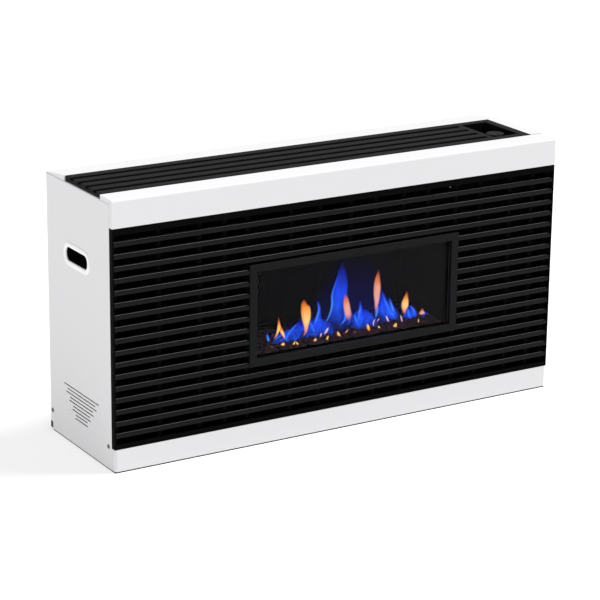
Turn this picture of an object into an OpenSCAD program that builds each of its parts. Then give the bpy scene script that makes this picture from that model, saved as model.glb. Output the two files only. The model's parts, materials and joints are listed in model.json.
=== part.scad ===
// Wall mounted gas convector heater with a flame window, room sealed, coaxial flue out of the back.
// Model frame while building: X along the width from the centre, Y from the front plane to the
// wall, Z up from the underside of the bottom fascia. place() moves it into the shared frame:
// origin at the middle of the footprint, on the ground under the skids, front facing -Y.

/* [Casing] */
// Overall width of the casing
casing_w = 1000; // [900:5:1100]
// Wall plane behind the front plane
casing_d = 280; // [260:1:300]
// Top of the outlet grille above the bottom fascia
casing_h = 530; // [520:1:540]
// Top of the side panels below the top of the outlet grille
panel_drop = 11; // [9:0.5:18]
// Side panel front edge behind the front plane
panel_setback = 13; // [10:0.5:16]
// Sheet thickness of the side panels
panel_t = 1.2; // [1:0.1:2]
// Width of the folded edges of the side panels
panel_flange = 12; // [8:1:16]
// Radius of the side panels' top front corner
panel_corner_r = 4; // [2:0.5:8]
// Depth of the notch in the rear bottom corner of a side panel
notch_d = 10; // [6:1:14]
// Height of that notch
notch_h = 15; // [10:1:20]
// Chassis sheet thickness
sheet_t = 1.5; // [1:0.1:2]
// Height of the skids pressed into the base tray
skid_h = 2.5; // [2:0.5:6]

/* [Fascias] */
// Underside of the top fascia below the top of the outlet grille
top_fascia_h = 56; // [50:1:65]
// Front edge of the top fascia's top face below the top of the outlet grille
front_edge_drop = 3; // [1:0.5:8]
// Rear edge of the top fascia's top face below the top of the outlet grille
rear_edge_drop = 1; // [0:0.5:4]
// Depth of the top fascia's top face
top_fascia_d = 48; // [40:1:60]
// Height of the bottom fascia
bottom_fascia_h = 44; // [38:1:50]
// Wall thickness of both fascias
fascia_t = 2; // [1.5:0.1:3]
// Radius of the fascias' outer edges
fascia_r = 6; // [3:0.5:8]

/* [Outlet grille] */
// Left end of the outlet grille from the casing's left end
outlet_left_in = 3; // [2:1:12]
// Right end of the outlet grille from the casing's right end
outlet_right_in = 28; // [8:1:40]
// Width of the closed zone around the controls
outlet_zone_w = 90; // [84:1:100]
// Rear edge of the outlet grille in front of the wall
outlet_back_gap = 80; // [70:1:88]
// Number of bars in the outlet grille
outlet_bars = 5; // [4:1:7]
// Width of a bar
outlet_bar_w = 20.4; // [16:0.1:25]
// Thickness of a bar
outlet_bar_t = 5; // [3:0.5:8]
// Wall thickness of the outlet grille's frame
outlet_wall_t = 2.5; // [2:0.1:4]
// Number of cross ribs under the bars
outlet_ribs = 9; // [5:1:13]
// Height of the cross ribs
outlet_rib_h = 10; // [6:1:14]

/* [Controls] */
// Knob axis from the casing's right end
knob_in = 76; // [70:1:85]
// Knob axis in front of the control well's middle
knob_ahead = 20.15; // [17:0.05:24]
// Ignition button axis behind the control well's middle
button_behind = 37.85; // [34:0.05:40]
// Inside width of the control well
well_w = 60; // [54:1:64]
// Inside length of the control well
well_l = 116; // [108:1:124]
// Depth of the control well
well_d = 25; // [20:1:30]
// Wall thickness of the control well
well_t = 2; // [1.5:0.1:3]
// Width of the control well's rim
well_rim = 5; // [4:0.5:7]
// Knob radius
knob_r = 19; // [16:0.5:22]
// Knob height
knob_h = 21; // [16:0.5:22]
// Gap under the knob when it is up
knob_lift = 5; // [4.6:0.1:6]
// Radius of the knob's skirt
knob_skirt_r = 21; // [19:0.5:24]
// Height of the knob's skirt
knob_skirt_h = 4; // [2:0.5:6]
// Number of grip flutes round the knob
knob_flutes = 16; // [8:1:24]
// Radius of a grip flute
flute_r = 1.6; // [0.8:0.1:2.5]
// Spindle radius
spindle_r = 4; // [3:0.1:5]
// Spindle shoulder radius
shoulder_r = 6; // [5:0.1:7]
// Spindle shoulder height
shoulder_h = 3; // [2:0.5:5]
// Ignition button radius
button_r = 6; // [5:0.1:8]
// Ignition button height above its collar
button_up = 12; // [9:0.5:14]
// Length of the ignition button's stem inside the igniter
button_stem = 14; // [10:1:18]
// Igniter body radius
igniter_r = 8.7; // [8:0.1:10]
// Igniter collar radius
igniter_collar_r = 12; // [10:0.5:14]
// Igniter length under the well's floor
igniter_l = 45; // [38:1:50]
// Running clearance of turning and sliding parts, on the radius
run_gap = 0.05; // [0.02:0.01:0.1]
// Assembly clearance round fixed parts, on the radius
seat_gap = 0.3; // [0.2:0.05:0.5]

/* [Front grille] */
// Top edge of the highest slat below the top fascia
slat_top_gap = 25.3; // [20:0.1:30]
// Top edge of the lowest slat above the bottom fascia
slat_low_gap = 32.22; // [26:0.01:36]
// Number of loose slats, without the frame's own bottom rail
slat_count = 17; // [15:1:19]
// Height of a slat's front face
slat_h = 10; // [8:0.5:13]
// Depth of a slat's top face
slat_d = 8; // [6:0.5:9]
// Wall thickness of a slat
slat_t = 2; // [1.5:0.1:3]
// Slat front face behind the front plane
slat_setback = 1; // [0.5:0.1:2]
// Front width of the frame's uprights
frame_side_w = 3; // [2.5:0.5:6]
// Front height of the frame's top rail
frame_top_h = 12.7; // [9:0.1:15]
// Front height of the frame's bottom rail
frame_bottom_h = 8.8; // [7:0.1:12]
// Width of a rib behind the slats
rib_w = 9; // [6:0.5:12]
// Depth of a rib behind the slats
rib_d = 13; // [8:0.5:14]

/* [Window] */
// Right edge of the window bezel from the casing's right end
window_in = 231; // [215:1:245]
// Slat at the window's middle, counted down from 0
window_row = 8; // [7:1:9]
// Window centre below the top edge of that slat
window_drop = 1.46; // [0:0.01:4]
// Number of slats that the window interrupts
window_rows = 9; // [7:2:11]
// How much lower the bezel is than that many slats
bezel_less = 4.52; // [3:0.01:8]
// Outside width of the bezel
bezel_w = 479; // [460:1:490]
// Front width of the bezel's uprights
bezel_side = 16.5; // [14:0.5:20]
// Front width of the bezel's rails
bezel_rail = 15; // [13:0.5:18]
// Sheet thickness of the bezel
bezel_t = 1.2; // [1:0.1:2]
// Width of the mitre lines
mitre_w = 0.4; // [0.3:0.1:0.8]
// Free gap between the bezel and the slats
bezel_gap = 1; // [0.5:0.1:2]
// Front face of the glass behind the front plane
glass_y = 7; // [6:0.5:8]
// Thickness of the ceramic glass
glass_t = 4; // [3:0.5:5]
// Hidden width of the glass on each side
glass_lap = 8; // [6:0.5:9]
// Thickness of the glass seal
gasket_t = 2; // [1.5:0.1:3]
// Width of the glass seal
gasket_w = 6; // [4:0.5:7]
// Thickness of the glass retainer
retainer_t = 1.2; // [1:0.1:1.5]
// Free play round the glass
glass_play = 1; // [0.5:0.1:1.5]

/* [Firebox] */
// Width of the firebox beyond the glass on each side
firebox_side = 24; // [20:1:34]
// Front of the firebox behind the front plane
firebox_front_y = 30; // [26:1:34]
// Rear of the firebox in front of the wall
firebox_back_gap = 50; // [45:1:60]
// Floor of the firebox
firebox_z = 112; // [105:1:120]
// Top of the firebox below the top of the outlet grille
firebox_drop = 90; // [80:1:110]
// Wall thickness of the firebox
firebox_t = 2; // [1.5:0.1:3]
// Number of fins on the firebox
fin_count = 17; // [9:2:21]
// Distance of the end fins from the firebox's ends
fin_end = 23; // [10:1:30]
// Fin height
fin_h = 38; // [20:1:45]
// Fin thickness
fin_t = 1.2; // [1:0.1:2]
// Baffle below the firebox's top
baffle_drop = 82; // [74:1:90]

/* [Flue] */
// Flue's axis below the top of the outlet grille
flue_drop = 135; // [130:1:145]
// Outside radius of the exhaust pipe
flue_r = 30; // [28:0.5:32]
// Outside radius of the air pipe
air_r = 50; // [48:0.5:52]
// Wall thickness of both pipes
flue_t = 1; // [0.8:0.1:1.5]
// Reach of both pipes behind the wall plane
flue_reach = 26; // [20:1:40]
// Radius of the air pipe's flange
air_flange_r = 62; // [58:1:64]
// Width of the air duct
duct_w = 160; // [130:2:180]
// Sheet thickness of the air duct
duct_t = 1.2; // [1:0.1:2]

/* [Burner] */
// Burner axis in front of the knob axis
burner_ahead = 34; // [30:1:40]
// Burner axis above the underside of the firebox
burner_rise = 34; // [30:1:38]
// Burner tube radius
burner_r = 12; // [10:0.5:14]
// Burner tube wall
burner_t = 1; // [0.8:0.1:1.5]
// Closed end of the burner tube from the firebox's left end
burner_left_in = 85.5; // [60:0.5:100]
// Open end of the burner tube from the firebox's right end
burner_right_in = 28.5; // [26:0.5:34]
// Number of flame ports
port_count = 32; // [16:1:40]
// Distance of the end ports from the burner tube's ends
port_end = 12; // [8:0.5:16]
// Radius of a flame port
port_r = 1.5; // [0.8:0.1:2]
// Gap between the burner tube and the ember tray
tray_gap = 2; // [1:0.5:6]
// Left end of the ember tray from the firebox's left end
tray_left_in = 20.5; // [10:0.5:30]
// Right end of the ember tray from the firebox's right end
tray_right_in = 22.5; // [16:0.5:26]
// Front edge of the ember tray behind the firebox's front
tray_front_gap = 6; // [4:0.5:14]
// Rear edge of the ember tray in front of the firebox's rear
tray_rear_gap = 30; // [15:1:50]
// Stones along the ember bed
stone_columns = 15; // [8:1:18]
// Stones across the ember bed
stone_rows = 5; // [3:1:7]
// Largest stone radius
stone_r = 11; // [7:0.5:13]
// Largest stone height
stone_h = 13; // [8:0.5:16]
// Pilot group from the firebox's right end
pilot_in = 69.5; // [60:0.5:80]
// Pilot burner behind the burner axis
pilot_back = 34; // [30:1:40]
// Distance between the three pieces of the pilot group
pilot_step = 12; // [11:0.5:14]

/* [Gas line] */
// Width of the gas valve
valve_w = 90; // [80:1:94]
// Depth of the gas valve
valve_d = 70; // [60:1:76]
// Underside of the gas valve below the top of the outlet grille
valve_drop = 130; // [126:1:132]
// Height of the gas valve's body
valve_h = 52; // [46:1:56]
// Outside radius of the valve's bonnet
bonnet_r = 14; // [12:0.5:16]
// Height of the valve's bonnet
bonnet_h = 28; // [24:1:30]
// Bore radius of the valve's bonnet
bonnet_bore_r = 9; // [8:0.1:10]
// Gas inlet pipe radius
inlet_r = 7.5; // [6:0.1:8]
// Gas inlet pipe to the right of the knob axis
inlet_side = 24; // [16:1:26]
// Gas inlet height
inlet_z = 62; // [58:1:70]
// Gas inlet thread radius
inlet_thread_r = 10.48; // [8:0.01:13.5]
// Reach of the gas inlet behind the wall plane
inlet_reach = 20; // [15:1:26]
// Burner feed pipe radius
feed_r = 6; // [5:0.1:6.5]
// Wall of the gas pipes
pipe_t = 1; // [0.8:0.1:1.5]
// Pilot pipe radius
pilot_pipe_r = 2; // [1.5:0.1:2.5]
// Thermocouple lead radius
probe_lead_r = 1.2; // [1:0.1:1.5]
// Ignition lead radius
spark_lead_r = 2.5; // [2:0.1:3]
// Thermostat capillary radius
capillary_r = 1; // [0.8:0.1:1.5]
// Thermostat bulb radius
bulb_r = 4; // [3:0.1:5]
// Thermostat bulb length
bulb_l = 90; // [70:1:100]

/* [Grips, vents and wall fixing] */
// Grip centre behind the front plane
grip_y = 149.5; // [140:0.5:160]
// Grip centre below the top of the side panels
grip_drop = 138; // [125:1:145]
// Grip opening length
grip_l = 91; // [84:1:100]
// Grip opening height
grip_h = 27; // [24:0.5:32]
// Corner radius of the grip opening
grip_r = 12; // [5:0.5:13]
// Width of the raised ring round the grip
ring_w = 10; // [6:0.5:12]
// Height of that ring above the panel
ring_t = 2; // [1:0.1:3]
// Depth of the grip cup
cup_d = 26; // [20:1:28]
// Wall thickness of the grip cup
cup_t = 1.5; // [1.2:0.1:2.5]
// Middle of the vent slits behind the front plane
slit_y = 141.5; // [135:0.5:150]
// Height of the highest vent slit
slit_top_z = 113; // [108:0.5:118]
// Distance from slit to slit
slit_pitch = 7.35; // [6:0.05:9]
// Width of a vent slit
slit_w = 2.4; // [1.5:0.1:3.5]
// Panel screw head radius
screw_head_r = 4.5; // [3:0.1:6]
// Panel screw thread radius
screw_r = 2; // [1.5:0.1:2.5]
// Front panel screw behind the front plane
screw_front_y = 26; // [22:1:32]
// Front panel screw height
screw_front_z = 44; // [40:1:46]
// Rear panel screw in front of the wall
screw_rear_gap = 10; // [8:1:18]
// Rear panel screw height
screw_rear_z = 39; // [36:1:44]
// Width of the wall bracket
bracket_w = 700; // [600:10:760]
// Lower edge of the wall bracket below the top of the outlet grille
bracket_drop = 64; // [60:1:66]
// Height of the wall bracket's wall flange
bracket_h = 30; // [24:1:30]
// Distance between the wall bracket's slots
bracket_slots = 520; // [400:10:560]
// Length of a slot in the wall bracket
bracket_slot_l = 20; // [12:1:30]
// Width of a slot in the wall bracket
bracket_slot_w = 8; // [6:0.5:10]

/* [Hidden] */
$fn = 64;
half_w = casing_w / 2;
panel_in = half_w - panel_t;
panel_h = casing_h - panel_drop;
row_d = casing_d + flue_reach;
cut = 1;                                  // how far a cutting shape runs past the face it cuts
flange_play = 1;                          // inner pieces stay this far from the folded edges
shelf_drop = 20;                          // rails that carry the outlet grille, below its top
back_gap = 14;                            // front face of the back plate, in front of the wall
shelf_z = casing_h - shelf_drop;
seat_x = half_w - panel_flange - flange_play;
back_y = casing_d - back_gap;
back_rear = back_y + sheet_t;
screw_rear_y = casing_d - screw_rear_gap;
bracket_z = casing_h - bracket_drop;
// top
top_fascia_z = casing_h - top_fascia_h;
top_fascia_front_z = casing_h - front_edge_drop;
top_fascia_rear_z = casing_h - rear_edge_drop;
outlet_left_x = -half_w + outlet_left_in;
outlet_right_x = half_w - outlet_right_in;
outlet_zone_x = outlet_right_x - outlet_zone_w;
outlet_rear_y = casing_d - outlet_back_gap;
outlet_front_y = top_fascia_d + seat_gap;
outlet_gap = (outlet_rear_y - outlet_front_y - outlet_bars * outlet_bar_w) / (outlet_bars - 1);
outlet_under = casing_h - outlet_bar_t;
rail_y = outlet_rear_y + seat_gap;
well_y = (outlet_front_y + outlet_rear_y) / 2;
well_top = outlet_under;
well_floor_z = well_top - well_d;
knob_x = half_w - knob_in;
knob_y = well_y - knob_ahead;
knob_z = well_floor_z + knob_lift;
button_y = well_y + button_behind;
igniter_collar_h = 2;
igniter_top = well_floor_z + igniter_collar_h;
// front
slat_top_z = top_fascia_z - slat_top_gap;
slat_pitch = (slat_top_z - bottom_fascia_h - slat_low_gap) / (slat_count - 1);
bezel_h = window_rows * slat_pitch - bezel_less;
window_x = half_w - window_in - bezel_w / 2;
window_z = slat_top_z - window_row * slat_pitch - window_drop;
glass_w = bezel_w - 2 * bezel_side + 2 * glass_lap;
glass_h = bezel_h - 2 * bezel_rail + 2 * glass_lap;
seat_y = glass_y + glass_t + gasket_t;    // face of the firebox neck that carries the seal
retainer_y = glass_y - retainer_t;
flange_y = seat_y - retainer_t;
// inside
firebox_w = glass_w + 2 * firebox_side;
firebox_l = window_x - firebox_w / 2;
firebox_rt = window_x + firebox_w / 2;
firebox_rear_y = casing_d - firebox_back_gap;
firebox_top_z = casing_h - firebox_drop;
fin_pitch = (firebox_w - 2 * fin_end) / (fin_count - 1);
baffle_z = firebox_top_z - baffle_drop;
flue_z = casing_h - flue_drop;
burner_y = knob_y - burner_ahead;
burner_z = firebox_z + burner_rise;
burner_left_x = firebox_l + burner_left_in;
burner_right_x = firebox_rt - burner_right_in;
port_pitch = (burner_right_x - burner_left_x - 2 * port_end) / (port_count - 1);
tray_z = burner_z + burner_r + tray_gap;
tray_top = tray_z + sheet_t;
tray_left_x = firebox_l + tray_left_in;
tray_right_x = firebox_rt - tray_right_in;
tray_front_y = firebox_front_y + tray_front_gap;
tray_rear_y = firebox_rear_y - tray_rear_gap;
pilot_x = firebox_rt - pilot_in;
pilot_y = burner_y + pilot_back;
spark_y = pilot_y - pilot_step;
probe_y = pilot_y + pilot_step;
lead_rise = 10;                           // pipes and leads leave the firebox this far above its underside
lead_z = firebox_z + lead_rise;
valve_z = casing_h - valve_drop;
valve_top = valve_z + valve_h;
bonnet_top = valve_top + bonnet_h;
bonnet_base = 4;
bonnet_floor = valve_top + bonnet_base;
collar_h = 4;
collar_down = 6;                          // push collar's underside below the bonnet's top
collar_z = bonnet_top - collar_down;
inlet_x = knob_x + inlet_side;
grip_z = panel_h - grip_drop;
// rib positions across the grille, as shares of half the width, read off the photographed grille
rib_share = [-0.8, -0.628, -0.52, -0.422, -0.23, -0.1, 0.038, 0.154, 0.284, 0.398, 0.532, 0.648,
             0.794, 0.904];
// lengths of the nine vent slits, from the highest down
slit_l = [151, 121, 132, 100, 105, 74, 80, 52, 55];

// ---- helpers -------------------------------------------------------------------------------
module place() translate([0, -row_d / 2, skid_h]) children();
module box(x0, x1, y0, y1, z0, z1) translate([x0, y0, z0]) cube([x1 - x0, y1 - y0, z1 - z0]);
// a (y, z) outline run along X, and an (x, z) outline run along Y
module along_x(x0, x1) translate([x0, 0, 0]) rotate([90, 0, 90]) linear_extrude(x1 - x0) children();
module along_y(y0, y1) translate([0, y1, 0]) rotate([90, 0, 0]) linear_extrude(y1 - y0) children();
module rod_x(x0, x1, y, z, r) translate([x0, y, z]) rotate([0, 90, 0]) cylinder(h = x1 - x0, r = r);
module rod_y(y0, y1, x, z, r) translate([x, y1, z]) rotate([90, 0, 0]) cylinder(h = y1 - y0, r = r);
module rod_z(z0, z1, x, y, r) translate([x, y, z0]) cylinder(h = z1 - z0, r = r);
module rect(w, h) translate([-w / 2, -h / 2]) square([w, h]);
module round_rect(w, h, r) {
    rect(w - 2 * r, h);
    rect(w, h - 2 * r);
    for (sx = [-1, 1], sy = [-1, 1]) translate([sx * (w / 2 - r), sy * (h / 2 - r)]) circle(r);
}
module slot(l, w) round_rect(l, w, w / 2 - 0.001);
module ring_rect(w, h, w2, h2) difference() { rect(w, h); rect(w2, h2); }
module mirrored() { children(); mirror([1, 0, 0]) children(); }

// a round pipe through points joined by straight runs along the axes, with quarter bends
function unit(v) = v / norm(v);
function side(d) = abs(d[2]) > 0.5 ? [1, 0, 0] : [0, 0, 1];
module basis(u, v, w, o)
    multmatrix([[u[0], v[0], w[0], o[0]], [u[1], v[1], w[1], o[1]], [u[2], v[2], w[2], o[2]],
                [0, 0, 0, 1]]) children();
module run(a, b, r) let (d = unit(b - a)) basis(side(d), cross(d, side(d)), d, a)
    cylinder(h = norm(b - a), r = r);
module bend(p, a, b, r, br) basis(-b, a, cross(a, b), p + (b - a) * br)
    rotate_extrude(angle = 90) translate([br, 0]) circle(r);
module pipe(p, r, br) {
    for (i = [0:len(p) - 2]) let (d = unit(p[i + 1] - p[i]))
        run(p[i] + d * (i == 0 ? 0 : br), p[i + 1] - d * (i == len(p) - 2 ? 0 : br), r);
    for (i = [1:len(p) - 2])
        bend(p[i], unit(p[i] - p[i - 1]), unit(p[i + 1] - p[i]), r, br);
}
// a closed coil: a flat ring at each end and a helix between them
module coil(r, wire, h, turns) {
    for (z = [wire, h - wire]) translate([0, 0, z])
        rotate_extrude() translate([r, 0]) circle(wire);
    translate([0, 0, wire]) linear_extrude(h - 2 * wire, twist = -360 * turns, slices = 20 * turns, $fn = 8)
        translate([r, 0]) circle(wire);
}

// ---- casing --------------------------------------------------------------------------------
module panel_outline() difference() {
    union() {
        translate([panel_setback, 0]) square([casing_d - panel_setback, panel_h - panel_corner_r]);
        translate([panel_setback + panel_corner_r, 0])
            square([casing_d - panel_setback - panel_corner_r, panel_h]);
        translate([panel_setback + panel_corner_r, panel_h - panel_corner_r]) circle(panel_corner_r);
    }
    translate([casing_d - notch_d, -cut]) square([notch_d + cut, notch_h + cut]);
}
module side_panel() difference() {
    union() {
        along_x(-half_w, -panel_in) panel_outline();
        along_x(-half_w, -half_w + panel_flange) difference() {
            panel_outline();
            translate([panel_setback + panel_t, -cut])
                square([casing_d - panel_setback - 2 * panel_t, panel_h + cut - panel_t]);
        }
    }
    along_x(-half_w - cut, -panel_in + cut) {
        translate([grip_y, grip_z])
            round_rect(grip_l + 2 * neck_side, grip_h + 2 * neck_side, grip_r + neck_side);
        for (i = [0:len(slit_l) - 1])
            translate([slit_y, slit_top_z - i * slit_pitch]) slot(slit_l[i], slit_w);
        translate([screw_front_y, screw_front_z]) circle(screw_r + seat_gap);
        translate([screw_rear_y, screw_rear_z]) circle(screw_r + seat_gap);
    }
}
module left_side_panel() color("white") side_panel();
module right_side_panel() color("white") mirror([1, 0, 0]) side_panel();

// outline of the top fascia seen from its end, shrunk by s all round
module fascia_outline(s) {
    polygon([[s, top_fascia_z + s], [s, top_fascia_front_z - fascia_r],
             [fascia_r, top_fascia_front_z - s], [top_fascia_d - s, top_fascia_rear_z - s],
             [top_fascia_d - s, top_fascia_z + s]]);
    translate([fascia_r, top_fascia_front_z - fascia_r]) circle(fascia_r - s);
}
module top_fascia() color("white") difference() {
    union() {
        along_x(-half_w, half_w) difference() { fascia_outline(0); fascia_outline(fascia_t); }
        for (x = [-half_w, half_w - fascia_t]) along_x(x, x + fascia_t) fascia_outline(0);
    }
    box(-half_w - cut, half_w + cut, panel_setback, top_fascia_d + cut, top_fascia_z - cut, shelf_z);
    for (x = [-half_w - cut, seat_x])
        box(x, x + half_w + cut - seat_x, panel_setback, top_fascia_d + cut, shelf_z - cut, panel_h);
}
module plan_outline(s) {
    translate([-half_w + fascia_r, s]) square([casing_w - 2 * fascia_r, panel_setback - s]);
    translate([-half_w + s, fascia_r]) square([casing_w - 2 * s, panel_setback - fascia_r]);
    for (x = [-half_w + fascia_r, half_w - fascia_r]) translate([x, fascia_r]) circle(fascia_r - s);
}
module bottom_fascia() color("white") difference() {
    linear_extrude(bottom_fascia_h) plan_outline(0);
    translate([0, 0, fascia_t]) linear_extrude(bottom_fascia_h - 2 * fascia_t) union() {
        plan_outline(fascia_t);
        translate([-half_w + fascia_t, fascia_r]) square([casing_w - 2 * fascia_t, panel_setback]);
    }
}
// sloping rail along the wall, with a closing strip at the right end of the outlet grille
rail_rise = 1.5;                          // wall side of the rail above the side panels
rail_in = 1;                              // ends of the rail inside the casing's ends
rail_roof_t = 1.7;                        // thickness of its sloping top, straight down
rail_low = panel_h + rail_rise;
module rail_outline(s) polygon([[rail_y + s, panel_h - s], [rail_y + s, casing_h - s],
    [casing_d - s, rail_low - s], [casing_d - s, panel_h - s]]);
module rear_rail() color("white") difference() {
    union() {
        difference() {
            along_x(-half_w + rail_in, half_w - rail_in) rail_outline(0);
            along_x(-half_w + rail_in + sheet_t, half_w - rail_in - sheet_t)
                polygon([[rail_y + sheet_t, panel_h - cut], [rail_y + sheet_t, casing_h - rail_roof_t],
                         [casing_d - sheet_t, panel_h], [casing_d - sheet_t, panel_h - cut]]);
        }
        box(-seat_x, seat_x, rail_y, rail_y + sheet_t, shelf_z, casing_h - sheet_t);
        box(outlet_right_x + seat_gap, half_w - rail_in, top_fascia_d, rail_y + cut, panel_h, casing_h);
    }
    box(outlet_right_x + seat_gap + sheet_t, half_w - rail_in - sheet_t, top_fascia_d + sheet_t,
        rail_y - sheet_t, panel_h - cut, casing_h - sheet_t);
}
module outlet_grille() color("black") difference() {
    union() {
        for (i = [0:outlet_bars - 1]) let (y = outlet_front_y + i * (outlet_bar_w + outlet_gap))
            box(outlet_left_x, outlet_zone_x + cut, y, y + outlet_bar_w, outlet_under, casing_h);
        box(outlet_zone_x, outlet_right_x, outlet_front_y, outlet_rear_y, outlet_under, casing_h);
        // four walls stand on the rails, and an end plate stands on the panel's folded top
        box(outlet_left_x, outlet_left_x + outlet_wall_t, outlet_front_y, outlet_rear_y, panel_h,
            outlet_under + cut);
        for (y = [outlet_front_y, outlet_rear_y - outlet_wall_t])
            box(-seat_x, outlet_right_x, y, y + outlet_wall_t, shelf_z, outlet_under + cut);
        for (x = [-seat_x, outlet_right_x - outlet_wall_t])
            box(x, x + outlet_wall_t, outlet_front_y, outlet_rear_y, shelf_z, outlet_under + cut);
        for (i = [1:outlet_ribs])
            let (x = outlet_left_x + i * (outlet_zone_x - outlet_left_x) / (outlet_ribs + 1))
            box(x, x + outlet_wall_t, outlet_front_y, outlet_rear_y, outlet_under - outlet_rib_h,
                outlet_under + cut);
    }
    box(knob_x - well_w / 2, knob_x + well_w / 2, well_y - well_l / 2, well_y + well_l / 2,
        outlet_under - cut, casing_h + cut);
}
shoulder_play = 2;                        // hole for the spindle, round its shoulder
module control_well() color("black") difference() {
    union() {
        box(knob_x - well_w / 2 - well_rim, knob_x + well_w / 2 + well_rim,
            well_y - well_l / 2 - well_rim, well_y + well_l / 2 + well_rim, well_top - well_t, well_top);
        box(knob_x - well_w / 2 - well_t, knob_x + well_w / 2 + well_t, well_y - well_l / 2 - well_t,
            well_y + well_l / 2 + well_t, well_floor_z - well_t, well_top);
    }
    box(knob_x - well_w / 2, knob_x + well_w / 2, well_y - well_l / 2, well_y + well_l / 2,
        well_floor_z, well_top + cut);
    rod_z(well_floor_z - well_t - cut, well_floor_z + cut, knob_x, knob_y, shoulder_r + shoulder_play);
    rod_z(well_floor_z - well_t - cut, well_floor_z + cut, knob_x, button_y, igniter_r + seat_gap);
}

// ---- front grille --------------------------------------------------------------------------
grille_low = bottom_fascia_h + seat_gap;
grille_high = top_fascia_z - seat_gap;
frame_leg_w = panel_flange + 2;           // rear leg over the panel's folded edge
function row_cut(z) = z > window_z - bezel_h / 2 - bezel_gap
    && z - slat_h < window_z + bezel_h / 2 + bezel_gap;
module grille_frame() color("black") {
    for (x = [-half_w, half_w - frame_side_w])
        box(x, x + frame_side_w, 0, panel_setback, grille_low, grille_high);
    for (x = [-half_w, half_w - frame_leg_w])
        box(x, x + frame_leg_w, panel_setback - slat_t, panel_setback, grille_low, grille_high);
    box(-half_w, half_w, 0, slat_t, grille_high - frame_top_h, grille_high);
    box(-half_w, half_w, 0, panel_setback, grille_high - slat_t, grille_high);
    box(-half_w, half_w, 0, slat_t, grille_low, grille_low + frame_bottom_h);
    box(-half_w, half_w, 0, panel_setback, grille_low, grille_low + slat_t);
    box(-half_w, half_w, 0, slat_setback + slat_d, grille_low + frame_bottom_h - slat_t,
        grille_low + frame_bottom_h);
}
module slat(x0, x1, z) along_x(x0, x1) polygon([[slat_setback, z - slat_h], [slat_setback, z],
    [slat_setback + slat_d, z], [slat_setback + slat_d, z - slat_t],
    [slat_setback + slat_t, z - slat_t], [slat_setback + slat_t, z - slat_h]]);
module grille_slats() color("black") {
    for (i = [0:slat_count - 1]) let (z = slat_top_z - i * slat_pitch,
                                      x0 = -half_w + frame_side_w, x1 = half_w - frame_side_w) {
        if (row_cut(z)) {
            slat(x0, window_x - bezel_w / 2 - bezel_gap, z);
            slat(window_x + bezel_w / 2 + bezel_gap, x1, z);
        } else slat(x0, x1, z);
    }
}
module grille_ribs() color("black") difference() {
    for (s = rib_share) let (x = s * half_w)
        box(x - rib_w / 2, x + rib_w / 2, slat_setback + slat_d, slat_setback + slat_d + rib_d,
            grille_low + slat_t, grille_high - slat_t);
    box(window_x - bezel_w / 2 - bezel_gap, window_x + bezel_w / 2 + bezel_gap, 0, casing_d,
        window_z - bezel_h / 2 - bezel_gap, window_z + bezel_h / 2 + bezel_gap);
    box(-half_w, half_w, 0, slat_setback + slat_d + cut, grille_low, grille_low + frame_bottom_h);
}

// ---- window --------------------------------------------------------------------------------
module at_window() translate([window_x, 0, window_z]) children();
module window_bezel() color("black") at_window() difference() {
    union() {
        along_y(0, bezel_t) ring_rect(bezel_w, bezel_h, bezel_w - 2 * bezel_side,
                                      bezel_h - 2 * bezel_rail);
        along_y(0, flange_y) ring_rect(bezel_w, bezel_h, bezel_w - 2 * bezel_t, bezel_h - 2 * bezel_t);
        along_y(0, glass_y - seat_gap) ring_rect(bezel_w - 2 * bezel_side + 2 * bezel_t,
            bezel_h - 2 * bezel_rail + 2 * bezel_t, bezel_w - 2 * bezel_side, bezel_h - 2 * bezel_rail);
    }
    for (sx = [-1, 1], sz = [-1, 1])
        let (a = sx * sz * atan2(bezel_rail, bezel_side), l = norm([bezel_rail, bezel_side]) + 2)
        translate([sx * (bezel_w - bezel_side) / 2, 0, sz * (bezel_h - bezel_rail) / 2])
        rotate([0, -a, 0]) translate([-l / 2, -cut, -mitre_w / 2]) cube([l, cut + mitre_w, mitre_w]);
}
module window_glass() color("gray") at_window() along_y(glass_y, glass_y + glass_t) rect(glass_w, glass_h);
module glass_seal() color("gray") at_window() along_y(glass_y + glass_t, seat_y)
    ring_rect(glass_w, glass_h, glass_w - 2 * gasket_w, glass_h - 2 * gasket_w);
retainer_w = glass_w + 2 * glass_play;
retainer_h = glass_h + 2 * glass_play;
screw_m3_x = (bezel_w / 2 - bezel_t + retainer_w / 2 + retainer_t) / 2;
screw_m3_in = 32.5;                       // upper and lower screws from the bezel's ends
screw_m3_z = bezel_h / 2 - screw_m3_in;
m3_head_r = 1.9;
m3_r = 1.25;
m3_head_h = 1.6;
m3_tail = 4;
module m3_places() for (sx = [-1, 1], sz = [-1, 0, 1])
    translate([window_x + sx * screw_m3_x, 0, window_z + sz * screw_m3_z]) children();
module glass_retainer() color("silver") difference() {
    at_window() union() {
        along_y(retainer_y, glass_y) ring_rect(retainer_w + 2 * retainer_t, retainer_h + 2 * retainer_t,
            glass_w - 2 * gasket_w + 2, glass_h - 2 * gasket_w + 2);
        along_y(retainer_y, seat_y) ring_rect(retainer_w + 2 * retainer_t, retainer_h + 2 * retainer_t,
            retainer_w, retainer_h);
        along_y(flange_y, seat_y) ring_rect(bezel_w, bezel_h, retainer_w, retainer_h);
    }
    m3_places() rod_y(flange_y - cut, seat_y + cut, 0, 0, m3_r + seat_gap);
}
module retainer_screws() color("silver") m3_places() {
    rod_y(flange_y - m3_head_h, flange_y, 0, 0, m3_head_r);
    rod_y(flange_y - m3_head_h / 2, seat_y + sheet_t + m3_tail, 0, 0, m3_r);
}

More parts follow.
